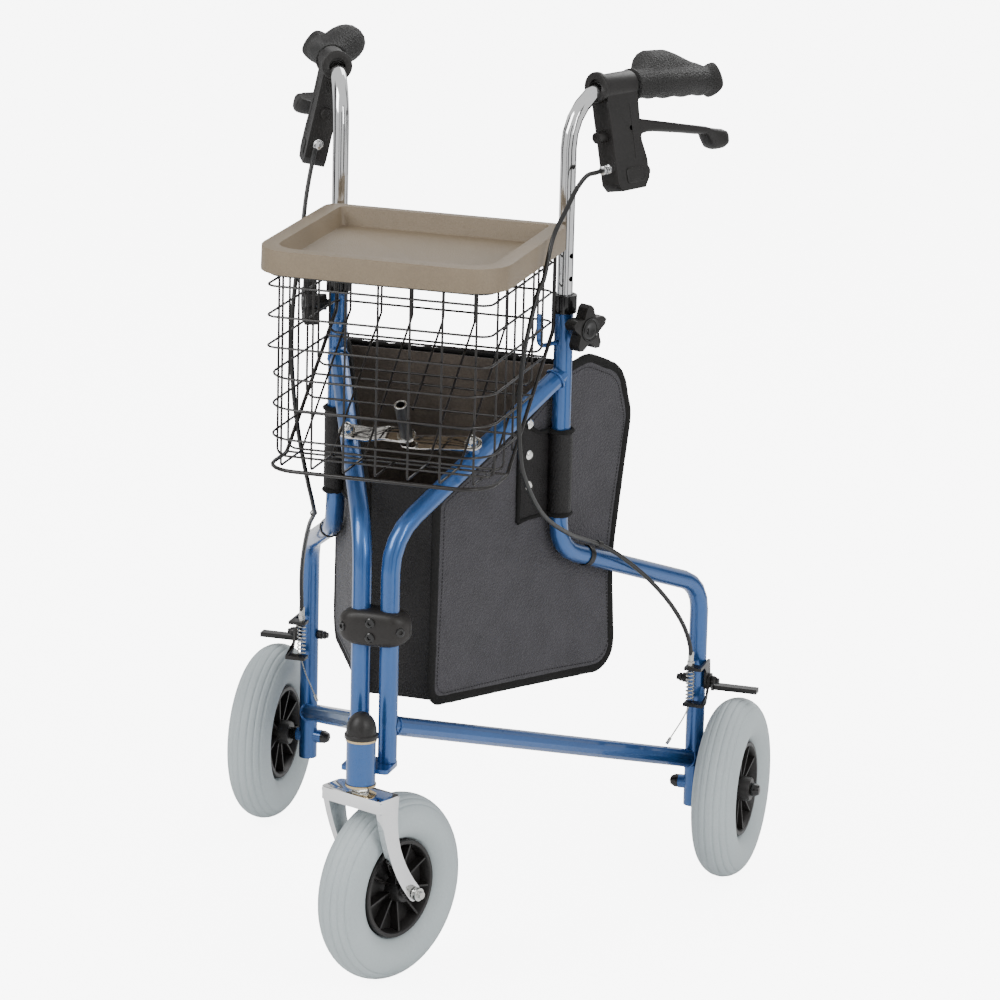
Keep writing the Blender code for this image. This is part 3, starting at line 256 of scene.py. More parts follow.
BINDING = finish("woven_binding", (0.009, 0.0085, 0.008), (0.003, 0.003, 0.003), 0.82, 0.06,
                 grain=1500, depth=0.0012, shine=0.3)
RUBBER = finish("cable_jacket", (0.010, 0.0095, 0.009), (0.005, 0.005, 0.005), 0.36, 0.08)
BRASS = finish("brass_ring", (0.62, 0.50, 0.30), (0.50, 0.38, 0.22), 0.20, 0.06, metallic=1.0)
SNAP = finish("nickel_snap", (0.92, 0.91, 0.89), (0.80, 0.79, 0.77), 0.24, 0.06, metallic=1.0)


# ---- modelling helpers --------------------------------------------------------------------
def deselect():
    bpy.ops.object.select_all(action="DESELECT")


def aimed(place, along):
    """A matrix that takes the origin to a place and turns Z along a direction."""
    return Matrix.Translation(place) @ Vector(along).to_track_quat("Z", "Y").to_matrix().to_4x4()


def pick(obj):
    """Select one object alone and make it the active one."""
    deselect()
    obj.select_set(True)
    bpy.context.view_layer.objects.active = obj


def add_bevel(obj, width, angle):
    edge = obj.modifiers.new("edge", "BEVEL")
    edge.width = width
    edge.segments = 3
    edge.limit_method = "ANGLE"
    edge.angle_limit = radians(angle)


def edit_all():
    bpy.ops.object.mode_set(mode="EDIT")
    bpy.ops.mesh.select_all(action="SELECT")


def select_faces(obj, test):
    """Select the faces whose centre and normal pass a test, in edit mode."""
    bm = bmesh.from_edit_mesh(obj.data)
    bpy.ops.mesh.select_mode(type="FACE")
    bpy.ops.mesh.select_all(action="DESELECT")
    for face in bm.faces:
        face.select_set(test(face.calc_center_median(), face.normal))
    bmesh.update_edit_mesh(obj.data)


def select_verts(obj, test):
    bm = bmesh.from_edit_mesh(obj.data)
    bpy.ops.mesh.select_mode(type="VERT")
    bpy.ops.mesh.select_all(action="DESELECT")
    for vert in bm.verts:
        vert.select_set(test(vert.co))
    bm.select_flush_mode()
    bmesh.update_edit_mesh(obj.data)


def drum(radius, depth, place=(0, 0, 0), along=(0, 0, 1), sides=32):
    """A cylinder and the matrix that puts its near end's middle at a place, facing along a direction."""
    deselect()
    bpy.ops.mesh.primitive_cylinder_add(vertices=sides, radius=radius, depth=depth)
    obj = bpy.context.object
    obj.data.transform(Matrix.Translation((0, 0, depth / 2)))
    edit_all()
    return obj, aimed(place, Vector(along).normalized())


def turned(profile, steps=48, closed_profile=False):
    """A turned piece: (radius, height) points swept round the Z axis with spin."""
    deselect()
    bpy.ops.mesh.primitive_plane_add(size=0.01)
    obj = bpy.context.object
    bpy.ops.object.mode_set(mode="EDIT")
    bm = bmesh.from_edit_mesh(obj.data)
    bmesh.ops.delete(bm, geom=list(bm.verts), context="VERTS")
    verts = [bm.verts.new((r, 0, z)) for r, z in profile]
    pairs = list(zip(verts, verts[1:]))
    if closed_profile:
        pairs.append((verts[-1], verts[0]))
    for a, b in pairs:
        bm.edges.new((a, b))
    bmesh.update_edit_mesh(obj.data)
    bpy.ops.mesh.select_all(action="SELECT")
    bpy.ops.mesh.spin(steps=steps, angle=2 * pi, center=(0, 0, 0), axis=(0, 0, 1))
    bpy.ops.mesh.select_all(action="SELECT")
    bpy.ops.mesh.remove_doubles(threshold=0.000001)
    bpy.ops.mesh.normals_make_consistent(inside=False)
    bpy.ops.object.mode_set(mode="OBJECT")
    return obj


def rod(corners, radius, bend=0.0, sides=8, steps=6):
    """A round bar through its corners: a circle extruded along the straights and spun round the bends."""
    corners = [Vector(c) for c in corners]
    deselect()
    heading = (corners[1] - corners[0]).normalized()
    bpy.ops.mesh.primitive_circle_add(vertices=sides, radius=radius)
    obj = bpy.context.object
    obj.data.transform(aimed(corners[0], heading))
    edit_all()
    place = corners[0]
    for corner, after in zip(corners[1:], corners[2:]):
        onward = (after - corner).normalized()
        turn = heading.angle(onward)
        if turn < 0.01:
            continue
        trim = bend * tan(turn / 2)
        arc_start = corner - heading * trim
        bpy.ops.mesh.extrude_edges_move(TRANSFORM_OT_translate={"value": arc_start - place})
        axis = heading.cross(onward).normalized()
        centre = arc_start + axis.cross(heading) * bend
        bpy.ops.mesh.spin(steps=steps, angle=-turn, center=centre, axis=axis)
        place = corner + onward * trim
        heading = onward
    bpy.ops.mesh.extrude_edges_move(TRANSFORM_OT_translate={"value": corners[-1] - place})
    bpy.ops.mesh.select_all(action="SELECT")
    bpy.ops.mesh.fill_holes(sides=0)
    bpy.ops.mesh.normals_make_consistent(inside=False)
    bpy.ops.object.mode_set(mode="OBJECT")
    return obj


def placed(obj, matrix):
    """Put a piece's place in its mesh."""
    if bpy.context.mode != "OBJECT":
        bpy.ops.object.mode_set(mode="OBJECT")
    obj.data.transform(obj.matrix_world)
    obj.matrix_world = Matrix.Identity(4)
    obj.data.transform(matrix)
    if matrix.determinant() < 0:
        obj.data.flip_normals()
    return obj


def joined(pieces):
    deselect()
    for obj in pieces:
        obj.select_set(True)
    bpy.context.view_layer.objects.active = pieces[0]
    bpy.ops.object.join()
    return bpy.context.object


def done(obj, name, body, mat, replaces=(), angle=38, bevel=0.0):
    """Bevel, shade, name and hang a finished piece on its body."""
    if bpy.context.mode != "OBJECT":
        bpy.ops.object.mode_set(mode="OBJECT")
    pick(obj)
    if bevel:
        add_bevel(obj, bevel, 35)
        bpy.ops.object.modifier_apply(modifier="edge")
    bpy.ops.object.shade_smooth_by_angle(angle=radians(angle))
    obj.data.materials.clear()
    obj.data.materials.append(mat)
    obj.name = name
    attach(obj, body)
    if replaces:
        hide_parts(*replaces)
    return obj


def thicken(obj, thickness):
    """Give a sheet its wall, half of it on each face."""
    pick(obj)
    wall = obj.modifiers.new("wall", "SOLIDIFY")
    wall.thickness = thickness
    wall.offset = 0
    bpy.ops.object.modifier_apply(modifier="wall")


def on_both(obj, name, body, mat, replaces=(), angle=38, bevel=0.0, matrix=LEFT):
    """Finish a piece drawn in the left frame's coordinates and its mirror on the right."""
    placed(obj, matrix)
    copy = obj.copy()
    copy.data = obj.data.copy()
    bpy.context.collection.objects.link(copy)
    placed(copy, MIRROR)
    result = []
    for piece, side in ((obj, "left_"), (copy, "right_")):
        names = [side + n for n in replaces]
        result.append(done(piece, side + name, side + body, mat, names, angle, bevel))
    return result


def at(n, s, z, side=1):
    """A world place from side frame coordinates: outwards, along the frame, up."""
    place = LEFT @ Vector((n, s, z))
    place.x *= side
    return place


def squared(angle, power):
    """How far a rounded square of half width 1 reaches at an angle; a higher power has sharper corners."""
    return 1 / (abs(cos(angle)) ** power + abs(sin(angle)) ** power) ** (1 / power)


def round_angles(count):
    return [2 * pi * k / count for k in range(count)]


# ---- camera, light and floor --------------------------------------------------------------
CAMERA_BACK = Vector((0.28269, -0.92046, 0.26992)).normalized()
CAMERA_TARGET = Vector((0.1762, -0.3682, 0.5812))
CAMERA_DISTANCE = 5.0265
CAMERA_ROLL = radians(1.4166)
CAMERA_LENS = 181.2              # millimetres, on a 36 mm sensor
SOFTBOXES = (((-1.7, -2.2, 2.6), 1.5, 75), ((2.3, -1.4, 1.7), 1.0, 38), ((0.3, 2.2, 2.4), 1.4, 30))
LIGHT_AIM = Vector((0, 0, 0.5))
DARK_CARDS = (((-1.35, -0.35, 0.8), 0.55), ((1.45, -0.75, 0.8), 0.5), ((0.9, -2.6, 0.9), 0.6),
              ((-0.5, -3.2, 0.9), 0.35), ((1.3, 1.3, 0.8), 0.5), ((-1.2, 1.4, 0.8), 0.5))
CARD_HEIGHT = 2.2
WORLD_LIGHT = 0.85
BACKDROP_GLOW = 8.0              # seen by the camera alone
FLOOR_GLOW = 7.0


def add_camera():
    right = Vector((0, 0, 1)).cross(CAMERA_BACK).normalized()
    up = CAMERA_BACK.cross(right)
    side = cos(CAMERA_ROLL) * right + sin(CAMERA_ROLL) * up
    top = -sin(CAMERA_ROLL) * right + cos(CAMERA_ROLL) * up
    data = bpy.data.cameras.new("view")
    data.lens = CAMERA_LENS
    data.sensor_width = 36
    camera = bpy.data.objects.new("view", data)
    camera.matrix_world = Matrix.Translation(CAMERA_TARGET + CAMERA_BACK * CAMERA_DISTANCE) @ (
        Matrix((side, top, CAMERA_BACK)).transposed().to_4x4())
    bpy.context.collection.objects.link(camera)
    bpy.context.scene.camera = camera


def add_lights():
    world = bpy.data.worlds.new("studio")
    world.use_nodes = True
    tree = world.node_tree
    path = tree.nodes.new("ShaderNodeLightPath")
    set_inputs(tree.nodes["Background"], Color=(1, 1, 1, 1))
    glow = math_node(tree, "MULTIPLY", path.outputs["Is Camera Ray"], BACKDROP_GLOW)
    tree.links.new(math_node(tree, "ADD", glow, WORLD_LIGHT), tree.nodes["Background"].inputs["Strength"])
    bpy.context.scene.world = world
    for place, size, power in SOFTBOXES:
        light = bpy.data.lights.new("softbox", "AREA")
        light.shape = "RECTANGLE"
        light.size = size
        light.size_y = size * 1.4
        light.energy = power
        lamp = bpy.data.objects.new("softbox", light)
        lamp.matrix_world = aimed(place, Vector(place) - LIGHT_AIM)
        bpy.context.collection.objects.link(lamp)


def studio():
    """Camera, lights, a glowing pale floor and dark cards that only the shiny parts see."""
    add_camera()
    add_lights()
    floor = stage_plane("floor", (0, 0, 0), (0, 0, 1), 30, 30)
    tree = floor.data.materials[0].node_tree
    shader = tree.nodes["Principled BSDF"]
    set_inputs(shader, Base_Color=(0.93, 0.93, 0.93, 1), Emission_Color=(1, 1, 1, 1))
    path = tree.nodes.new("ShaderNodeLightPath")
    glow = math_node(tree, "MULTIPLY", path.outputs["Is Camera Ray"], FLOOR_GLOW)
    tree.links.new(glow, shader.inputs["Emission Strength"])
    for place, wide in DARK_CARDS:
        stage_plane("dark_card", place, -Vector(place) + Vector((0, 0, place[2])), wide, CARD_HEIGHT)


def stage_plane(name, place, facing, wide, tall):
    """A flat card or floor that isn't part of the walker."""
    deselect()
    bpy.ops.mesh.primitive_plane_add(size=1)
    card = bpy.context.object
    card.name = name
    card.matrix_world = aimed(place, facing) @ Matrix.Diagonal((wide, tall, 1, 1))
    mat = bpy.data.materials.new(name)
    mat.use_nodes = True
    set_inputs(mat.node_tree.nodes["Principled BSDF"], Base_Color=(0.02, 0.02, 0.02, 1), Roughness=0.8)
    card.data.materials.append(mat)
    if name != "floor":
        card.visible_camera = False
        card.visible_diffuse = False
        card.visible_shadow = False
    return card


# ---- finishes on the frame's own pieces ---------------------------------------------------
def dress_frame():
    """Smooth and slightly bevelled edges, and a finish, on every kept piece."""
    looks = {"head_tube": PAINT, "fork": CHROME, "caster_stem": ZINC, "front_axle": ZINC,
             "head_bearing_upper": BRASS, "head_bearing_lower": BRASS, "finger_grip": RUBBER, "tray": TRAY}
    on_sides = {"rear_tube": PAINT, "front_tube": PAINT, "lower_bar": PAINT, "basket_hook": PAINT,
                "collar": GLOSSY, "handle_tube": CHROME, "brake_housing": PLASTIC, "knob": PLASTIC,
                "rear_axle": GLOSSY, "brake_bracket": STEEL_BLACK, "brake_arm": STEEL_BLACK,
                "brace_link": DARK_STEEL}
    for side in ("left_", "right_"):
        looks.update({side + name: mat for name, mat in on_sides.items()})
    bevels = {"tray": 0.0012, "fork": 0.0030, "collar": 0.001, "brake_housing": 0.0016, "knob": 0.0022,
              "brake_bracket": 0.0004, "brake_arm": 0.0004, "brace_link": 0.0005,
              "caster_stem": 0.0006, "front_axle": 0.0006}
    for name, mat in looks.items():
        obj = nodes[name]
        obj.data.materials.clear()
        obj.data.materials.append(mat)
        obj.data.polygons.foreach_set("use_smooth", [True] * len(obj.data.polygons))
        weld = obj.modifiers.new("weld", "WELD")
        weld.merge_threshold = 0.00001
        width = bevels.get(name.replace("left_", "").replace("right_", ""))
        if width:
            add_bevel(obj, width, 34)
        split = obj.modifiers.new("crease", "EDGE_SPLIT")
        split.split_angle = radians(36)


# ---- basket -------------------------------------------------------------------------------
def slope_z(y):
    """Height of the basket's sloping back above its floor line at a depth."""
    t = max(0.0, (y - BASKET_FLOOR_Y) / (BASKET_Y[1] - BASKET_FLOOR_Y))
    return BASKET_Z[0] + t * (BASKET_KNEE_Z - BASKET_Z[0])


def slope_y(z):
    t = min(max((z - BASKET_Z[0]) / (BASKET_KNEE_Z - BASKET_Z[0]), 0.0), 1.0)
    return BASKET_FLOOR_Y + t * (BASKET_Y[1] - BASKET_FLOOR_Y)


def basket():
    """Rows round the basket, uprights and cross wires inside them, and a heavier wire on each edge."""
    x, (front, back), (low, high) = BASKET_X, BASKET_Y, BASKET_Z
    knee = BASKET_KNEE_Z
    inside = 2 * WIRE_R
    under = low + inside
    wires = []

    def wire(corners, bend=0.0):
        wires.append(rod(corners, WIRE_R, bend))

    for row in range(7):
        z = low + ROW_PITCH * row
        if z < knee:
            end = slope_y(z)
            wire([(-x, end, z), (-x, front, z), (x, front, z), (x, end, z)], BASKET_CORNER)
            wire([(-x, end, z), (x, end, z)])
        else:
            wire([(0, back, z), (-x, back, z), (-x, front, z), (x, front, z), (x, back, z), (0, back, z)],
                 0.012)
    for k in (-3, -2, -1, 1, 2, 3):
        px = POST_PITCH * k
        corner = max(0.0, abs(px) - (x - BASKET_CORNER))
        dip = BASKET_CORNER - (BASKET_CORNER ** 2 - corner ** 2) ** 0.5
        near = front + dip + inside
        wire([(px, near, high), (px, near, under), (px, BASKET_FLOOR_Y, under), (px, back - inside, knee),
              (px, back - inside, high)], POST_BEND)
    near = front + inside
    wire([(0, near, high), (0, near, under), (0, -0.176, under)], POST_BEND)
    for side in (-1, 1):
        px = side * (x - inside)
        wire([(px, -0.1435, high), (px, -0.1435, slope_z(-0.1435))])
    wire([(0, back - inside, high), (0, back - inside, knee), (0, -0.1150, slope_z(-0.1150) + inside)], 0.012)
    for y in (-0.205, -0.172, -0.115, -0.080, -0.045):
        px = x - inside
        z = slope_z(y) + inside
        wire([(-px, y, high), (-px, y, z + inside), (px, y, z + inside), (px, y, high)], 0.009)
    done(joined(wires), "basket_wires", "basket", WIRE, ["basket"])

    top = [(0, back, high), (-x, back, high), (-x, front, high), (x, front, high), (x, back, high),
           (0, back, high)]
    heavy = [rod(top, HEAVY_WIRE_R, 0.020, 10)]
    base = low - 0.001
    for side in (-1, 1):
        px = side * (x + 0.0002)
        heavy.append(rod([(px, front + BASKET_CORNER, base), (px, BASKET_FLOOR_Y, base),
                          (px, back, knee - 0.001), (px, back, high)], HEAVY_WIRE_R, 0.014, 10))
    heavy.append(rod([(-x, BASKET_FLOOR_Y, base), (-x, front - 0.0005, base), (x, front - 0.0005, base),
                      (x, BASKET_FLOOR_Y, base)], HEAVY_WIRE_R, BASKET_CORNER, 10))
    done(joined(heavy), "basket_edge_wires", "basket", WIRE)


# ---- wheels -------------------------------------------------------------------------------
def tyre_mesh():
    """A tyre section circle with pressed tread grooves, spun round the axle."""
    middle = WHEEL_R - TYRE_SECTION
    grooves = [radians(a) for a in (-48, -30, -12, 12, 30, 48)]
    seat = RIM_R - 0.001
    profile = []
    for a in round_angles(96):
        near = min(abs(atan2(sin(a - g), cos(a - g))) for g in grooves)
        radius = TYRE_SECTION - (GROOVE_DEPTH if near < GROOVE_HALF else 0.0)
        profile.append((max(middle + radius * cos(a), seat), radius * sin(a)))
    return turned(profile, 72, closed_profile=True)


def rim_mesh():
    """A dished rim with a rolled lip, a hub and thin ribs."""
    half = RIM_W / 2
    lip = RIM_R - 0.0055
    dish = [(HUB_BORE, HUB_HALF), (0.0125, HUB_HALF), (0.0135, 0.022), (0.0145, 0.006), (0.020, 0.0025),
            (lip - 0.002, 0.004), (lip, half), (lip + 0.001, half + 0.0012), (RIM_R - 0.001, half + 0.0012),
            (RIM_R, half)]
    profile = [(r, -z) for r, z in reversed(dish)] + dish
    parts = [turned(profile, 64, closed_profile=True)]
    for k in range(RIBS):
        for side in (-1, 1):
            deselect()
            bpy.ops.mesh.primitive_cube_add(size=1, location=(0.0305, 0, side * 0.0065),
                                            scale=(0.034, 0.0021, 0.011))
            rib = bpy.context.object
            edit_all()
            select_verts(rib, lambda co: co.x > 0 and co.z * side > 0)
            bpy.ops.transform.translate(value=(0, 0, side * 0.0035))
            bpy.ops.object.mode_set(mode="OBJECT")
            parts.append(placed(rib, Matrix.Rotation(2 * pi * k / RIBS, 4, "Z")))
    return joined(parts)


def wheels():
    front = Matrix.Translation(FRONT_WHEEL) @ Matrix.Rotation(-CASTER_TURN, 4, "Z") @ OUTWARDS
    rear = Matrix.Translation(REAR_WHEEL) @ OUTWARDS
    done(placed(tyre_mesh(), front), "front_ribbed_tyre", "front_wheel", TYRE, ["front_tyre"],
         angle=50)
    done(placed(rim_mesh(), front), "front_dished_rim", "front_wheel", PLASTIC,
         ["front_rim"])
    on_both(tyre_mesh(), "ribbed_tyre", "wheel", TYRE, ["wheel_tyre"], angle=50, matrix=rear)
    on_both(rim_mesh(), "dished_rim", "wheel", PLASTIC, ["wheel_rim"], matrix=rear)


# ---- free-form shapes ---------------------------------------------------------------------
def new_mesh(name, verts, faces):
    mesh = bpy.data.meshes.new(name)
    mesh.from_pydata([tuple(v) for v in verts], [], faces)
    obj = bpy.data.objects.new(name, mesh)
    bpy.context.collection.objects.link(obj)
    bm = bmesh.new()
    bm.from_mesh(mesh)
    bmesh.ops.recalc_face_normals(bm, faces=bm.faces)
    bm.to_mesh(mesh)
    bm.free()
    return obj


def skin(name, rings, closed=False):
    """Skin equal rings of points; open stacks get flat ends."""
    count = len(rings[0])
    verts = [p for ring in rings for p in ring]
    faces = []
    last = len(rings) if closed else len(rings) - 1
    for i in range(last):
        for k in range(count):
            a, b = i * count + k, i * count + (k + 1) % count
            c, d = ((i + 1) % len(rings)) * count + (k + 1) % count, ((i + 1) % len(rings)) * count + k
            faces.append((a, b, c, d))
    if not closed:
        faces.append(tuple(range(count))[::-1])
        faces.append(tuple(range((len(rings) - 1) * count, len(rings) * count)))
    return new_mesh(name, verts, faces)


def curve_points(points, step):
    """Even steps along a smooth curve through the points."""
    points = [Vector(p) for p in points]
    padded = [2 * points[0] - points[1]] + points + [2 * points[-1] - points[-2]]
    dense = []
    for a, b, c, d in zip(padded, padded[1:], padded[2:], padded[3:]):
        for i in range(16):
            t = i / 16
            dense.append(0.5 * (2 * b + (c - a) * t + (2 * a - 5 * b + 4 * c - d) * t * t
                                + (3 * b - a - 3 * c + d) * t ** 3))
    dense.append(points[-1])
    result, walked = [dense[0]], 0.0
    for a, b in zip(dense, dense[1:]):
        walked += (b - a).length
        if walked >= step:
            result.append(b)
            walked = 0.0
    result[-1] = dense[-1]
    return result


def hose(name, path, radius, sides=12, flat=1.0, closed=False, wobble=0.0):
    """A round or flattened cord along a path; flat scales its second direction."""
    rings = []
    side = None
    count = len(path)
    for i, point in enumerate(path):
        after = path[(i + 1) % count] if closed else path[min(i + 1, count - 1)]
        before = path[i - 1] if closed else path[max(i - 1, 0)]
        heading = (after - before).normalized()
        if side is None:
            side = heading.orthogonal().normalized() if abs(heading.x) > 0.9 else Vector((1, 0, 0))
        side = (side - heading * side.dot(heading)).normalized()
        up = heading.cross(side)
        swell = 1 + wobble * noise.noise(point * 400)
        rings.append([point + radius * swell * (side * cos(a) * flat + up * sin(a))
                      for a in round_angles(sides)])
    return skin(name, rings, closed)


def rounded_outline(corners, steps=8):
    """A closed outline whose corners (s, z, radius) are replaced by arcs."""
    points = []
    count = len(corners)
    for i, (s, z, radius) in enumerate(corners):
        corner = Vector((s, z))
        a = (Vector(corners[i - 1][:2]) - corner).normalized()
        b = (Vector(corners[(i + 1) % count][:2]) - corner).normalized()
        half = a.angle(b) / 2
        centre = corner + (a + b).normalized() * (radius / sin(half))
        start = corner + a * (radius / tan(half)) - centre
        end = corner + b * (radius / tan(half)) - centre
        turn = start.angle(end)
        for k in range(steps + 1):
            t = k / steps
            points.append(centre + (start * sin((1 - t) * turn) + end * sin(t * turn)) / sin(turn))
    dense = []
    for a, b in zip(points, points[1:] + points[:1]):
        pieces = max(1, round((b - a).length / 0.009))
        dense += [a.lerp(b, k / pieces) for k in range(pieces)]
    return dense


# ---- bag ----------------------------------------------------------------------------------
PANEL = [(0.078, 0.2835, 0.016), (0.370, 0.2635, 0.026), (0.3625, 0.385, 0.30), (0.387, 0.552, 0.045),
         (0.371, 0.604, 0.036), (0.318, 0.627, 0.030), (0.286, 0.620, 0.012), (0.222, 0.578, 0.020),
         (0.081, 0.506, 0.014)]
PANEL_MIDDLE = -0.0152
BINDING_INSET = 0.0032
SEAM_INSET = 0.0094
STITCH_PITCH = 0.0045
SLEEVE_Z = (0.464, 0.556)
SNAP_PLACES = ((0.2215, 0.567), (0.2220, 0.533), (0.2220, 0.499), (0.2735, 0.552))


def ruffle(place, size, scale):
    return size * (noise.noise(place * scale) + 0.4 * noise.noise(place * scale * 2.7 + Vector((5, 2, 9))))


def panel_pad():
    """A stiffened side panel, slightly crowned and creased."""
    outline = rounded_outline(PANEL)
    centre = sum(outline, Vector((0, 0))) / len(outline)
    levels = (1.0, 0.985, 0.96, 0.92, 0.84, 0.74, 0.62, 0.48, 0.34, 0.2, 0.08)
    half = {1.0: 0.0008, 0.985: 0.0016, 0.96: 0.0019}
    rings = []
    for face in (1, -1):
        ladder = levels if face > 0 else levels[::-1]
        for t in ladder:
            ring = []
            for p in outline:
                q = centre + (p - centre) * t
                crease = ruffle(Vector((q.x, q.y, 0.3)), 0.0011 * min(1, (1 - t) * 12), 16)
                thick = half.get(t, 0.0021 + 0.0008 * (1 - t))
                ring.append(Vector((PANEL_MIDDLE - face * thick + crease, q.x, q.y)))
            rings.append(ring)
    rings = rings[len(levels):] + rings[:len(levels)]
    return skin("side_panel", rings)


def panel_stitches(edge, middle):
    """One row of stitches just inside the binding, on the panel's outer face."""
    seam = [p + (middle - p).normalized() * SEAM_INSET for p in edge]
    seam = [Vector((PANEL_MIDDLE + 0.0026, p.y, p.z)) for p in seam]
    verts, faces = [], []
    for a, b in zip(seam, seam[1:] + seam[:1]):
        count = max(1, round((b - a).length / STITCH_PITCH))
        for k in range(count):
            start, stop = a.lerp(b, (k + 0.18) / count), a.lerp(b, (k + 0.82) / count)
            along = (stop - start).normalized() * 0.0004
            across = Vector((0, -along.z, along.y)).normalized() * 0.00035
            lift = Vector((0.0004, 0, 0))
            n = len(verts)
            verts += [start - across, start + across, stop + across, stop - across,
                      start + along + lift, stop - along + lift]
            faces += [(n, n + 1, n + 4), (n + 1, n + 2, n + 5, n + 4), (n + 2, n + 3, n + 5),
                      (n + 3, n, n + 4, n + 5), (n, n + 3, n + 2, n + 1)]
    return new_mesh("panel_stitches", verts, faces)


def bag_sides():
    pads = on_both(panel_pad(), "side_panel", "frame", VINYL, ["bag_panel"], angle=60)
    edge = [Vector((PANEL_MIDDLE, p.x, p.y)) for p in rounded_outline(PANEL)]
    middle = sum(edge, Vector()) / len(edge)
    edge = [p + (middle - p).normalized() * BINDING_INSET for p in edge]
    binding = hose("panel_binding", edge, 0.0056, 16, 0.55, closed=True, wobble=0.10)
    on_both(binding, "panel_binding", "frame", BINDING, angle=70)
    on_both(panel_stitches(edge, middle), "panel_stitches", "frame", BINDING, angle=30)


def grid_faces(rows, width):
    """Faces between neighbouring rows of points, each row width points long."""
    starts = [row * width + k for row in range(rows - 1) for k in range(width - 1)]
    return [(a, a + 1, a + width + 1, a + width) for a in starts]


def sleeve():
    """The strap that wraps the upright and snaps to the panel."""
    wrap = TUBE_R + 0.0019
    base = -0.0118
    low, high = SLEEVE_Z
    profile = [(base, 0.2065), (base, 0.214), (base + 0.0006, 0.222), (-0.0085, 0.2335)]
    for k in range(17):
        a = radians(-128 + 256 * k / 16)
        profile.append((wrap * cos(a), UPRIGHT_S + wrap * sin(a)))
    profile += [(-0.0098, 0.2725), (base, 0.278)]
    width = len(profile)
    rows = 14
    verts = []
    for r in range(rows + 1):
        t = r / rows
        z = low + (high - low) * t
        for n, s in profile:
            flap = max(0.0, min(1.0, (0.232 - s) / 0.03))
            height = z + flap * (0.020 * t - 0.004 * (1 - t))
            dent = ruffle(Vector((n, s, z)), 0.0005, 60)
            verts.append(Vector((n + dent + 0.0003, s, height)))
    obj = new_mesh("sleeve", verts, grid_faces(rows + 1, width))
    thicken(obj, 0.0013)
    on_both(obj, "upright_sleeve", "frame", BLACK_VINYL_AND_PAINTED_SHADE, angle=60)
    paths = [verts[:width], verts[rows * width:], verts[::width]]
    bands = [hose("band", path, 0.0026, 10, wobble=0.35) for path in paths]
    on_both(joined(bands), "sleeve_binding", "frame", BINDING, angle=70)
    snaps = []
    for s, z in SNAP_PLACES:
        snap = turned([(0, 0), (0.0056, 0), (0.0058, 0.0006), (0.0050, 0.0018), (0.0031, 0.0026),
                       (0.0013, 0.0028), (0, 0.0024)], 24)
        snaps.append(placed(snap, Matrix.Translation((base + 0.0012, s, z)) @ OUTWARDS))
    on_both(joined(snaps), "sleeve_snaps", "frame", SNAP)


def cloth(name, corner_rows, side, mat, puff, bulge):
    """One gusset cloth: rows of (half width, depth, height), from the middle out to one side panel."""
    across = 14
    verts = []
    rows = len(corner_rows)
    for i, (half, y, z) in enumerate(corner_rows):
        for k in range(across + 1):
            t = k / across
            place = Vector((side * half * t, y, z))
            middle = (1 - t * t) * sin(pi * i / (rows - 1))
            crease = ruffle(Vector((place.x + 0.31, place.y, place.z)), puff, 20)
            verts.append(place + bulge * middle + bulge.normalized() * crease * (1 - t ** 6))
    obj = new_mesh(name, verts, grid_faces(rows, across + 1))
    thicken(obj, 0.0015)
    bpy.ops.object.shade_smooth_by_angle(angle=radians(60))
    obj.data.materials.append(mat)
    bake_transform(obj)
    return obj


def side_name(side):
    return "left_" if side > 0 else "right_"


def half_width(y):
    """Inside of the side panel at a depth, measured from the middle."""
    s = (y - FOLD_Y - BAG_INNER * sin(SPLAY)) / cos(SPLAY)
    return FOLD_X + s * sin(SPLAY) - (BAG_INNER - 0.0008) * cos(SPLAY)


def gusset_rows(a, b, steps=12):
    """Rows of (half width, depth, height) between two (depth, height) ends."""
    result = []
    for i in range(steps + 1):
        y = a[0] + (b[0] - a[0]) * i / steps
        result.append((half_width(y), y, a[1] + (b[1] - a[1]) * i / steps))
    return result


def bag_gusset():
    floor, front, back = 0.288, -0.146, 0.098
    front_top, back_top = 0.522, 0.610
    middle = -0.02
    sag, belly = Vector((0, 0, -0.002)), Vector((0, 0.010, 0))
    # The front cloth and the front half of the floor take the darker vinyl as painted shade inside the bag;
    # the back cloth and back floor keep the panel vinyl.
    cloths = [
        ("bag_front", (front, front_top), (front, floor), front, BLACK_VINYL_AND_PAINTED_SHADE, 0.0030, belly),
        ("bag_floor_front", (front, floor), (middle, floor), -0.08, BLACK_VINYL_AND_PAINTED_SHADE, 0.001, sag),
        ("bag_floor_back", (middle, floor), (back, floor), 0.04, VINYL, 0.001, sag),
        ("bag_back", (back, floor), (back - 0.012, back_top), back, VINYL, 0.003, belly),
        ("bag_lining", (back - 0.006, floor + 0.004), (back - 0.019, back_top - 0.002), back - 0.008,
         LINING, 0.004, Vector((0, 0.007, 0)))]
    for side in (1, -1):
        prefix = side_name(side)
        for name, start, stop, hinge_y, mat, puff, bulge in cloths:
            rows = gusset_rows(start, stop)
            cloth(prefix + name, rows, side, mat, puff, bulge)
        hem = []
        for t in (k / 20 for k in range(21)):
            y = back - 0.014 + ruffle(Vector((t, 0, 0.2)), 0.002, 6)
            hem.append(Vector((side * half_width(back - 0.012) * t, y, back_top + 0.001)))
        edge = hose(prefix + "bag_hem", hem, 0.0026, 10, wobble=0.2)
        edge.data.materials.append(BINDING)
        edge.data.shade_smooth()
        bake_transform(edge)
    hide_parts("bag_gusset")


# ---- grips, brakes and knobs --------------------------------------------------------------
ROLL = Matrix.Translation((0, 0, HANDLE_TOP_Z)) @ Matrix.Rotation(-HOUSING_ROLL, 4, "Y") @ Matrix.Translation(
    (0, 0, -HANDLE_TOP_Z))


def ease(t, low, high):
    t = min(max((t - low) / (high - low), 0.0), 1.0)
    return t * t * (3 - 2 * t)


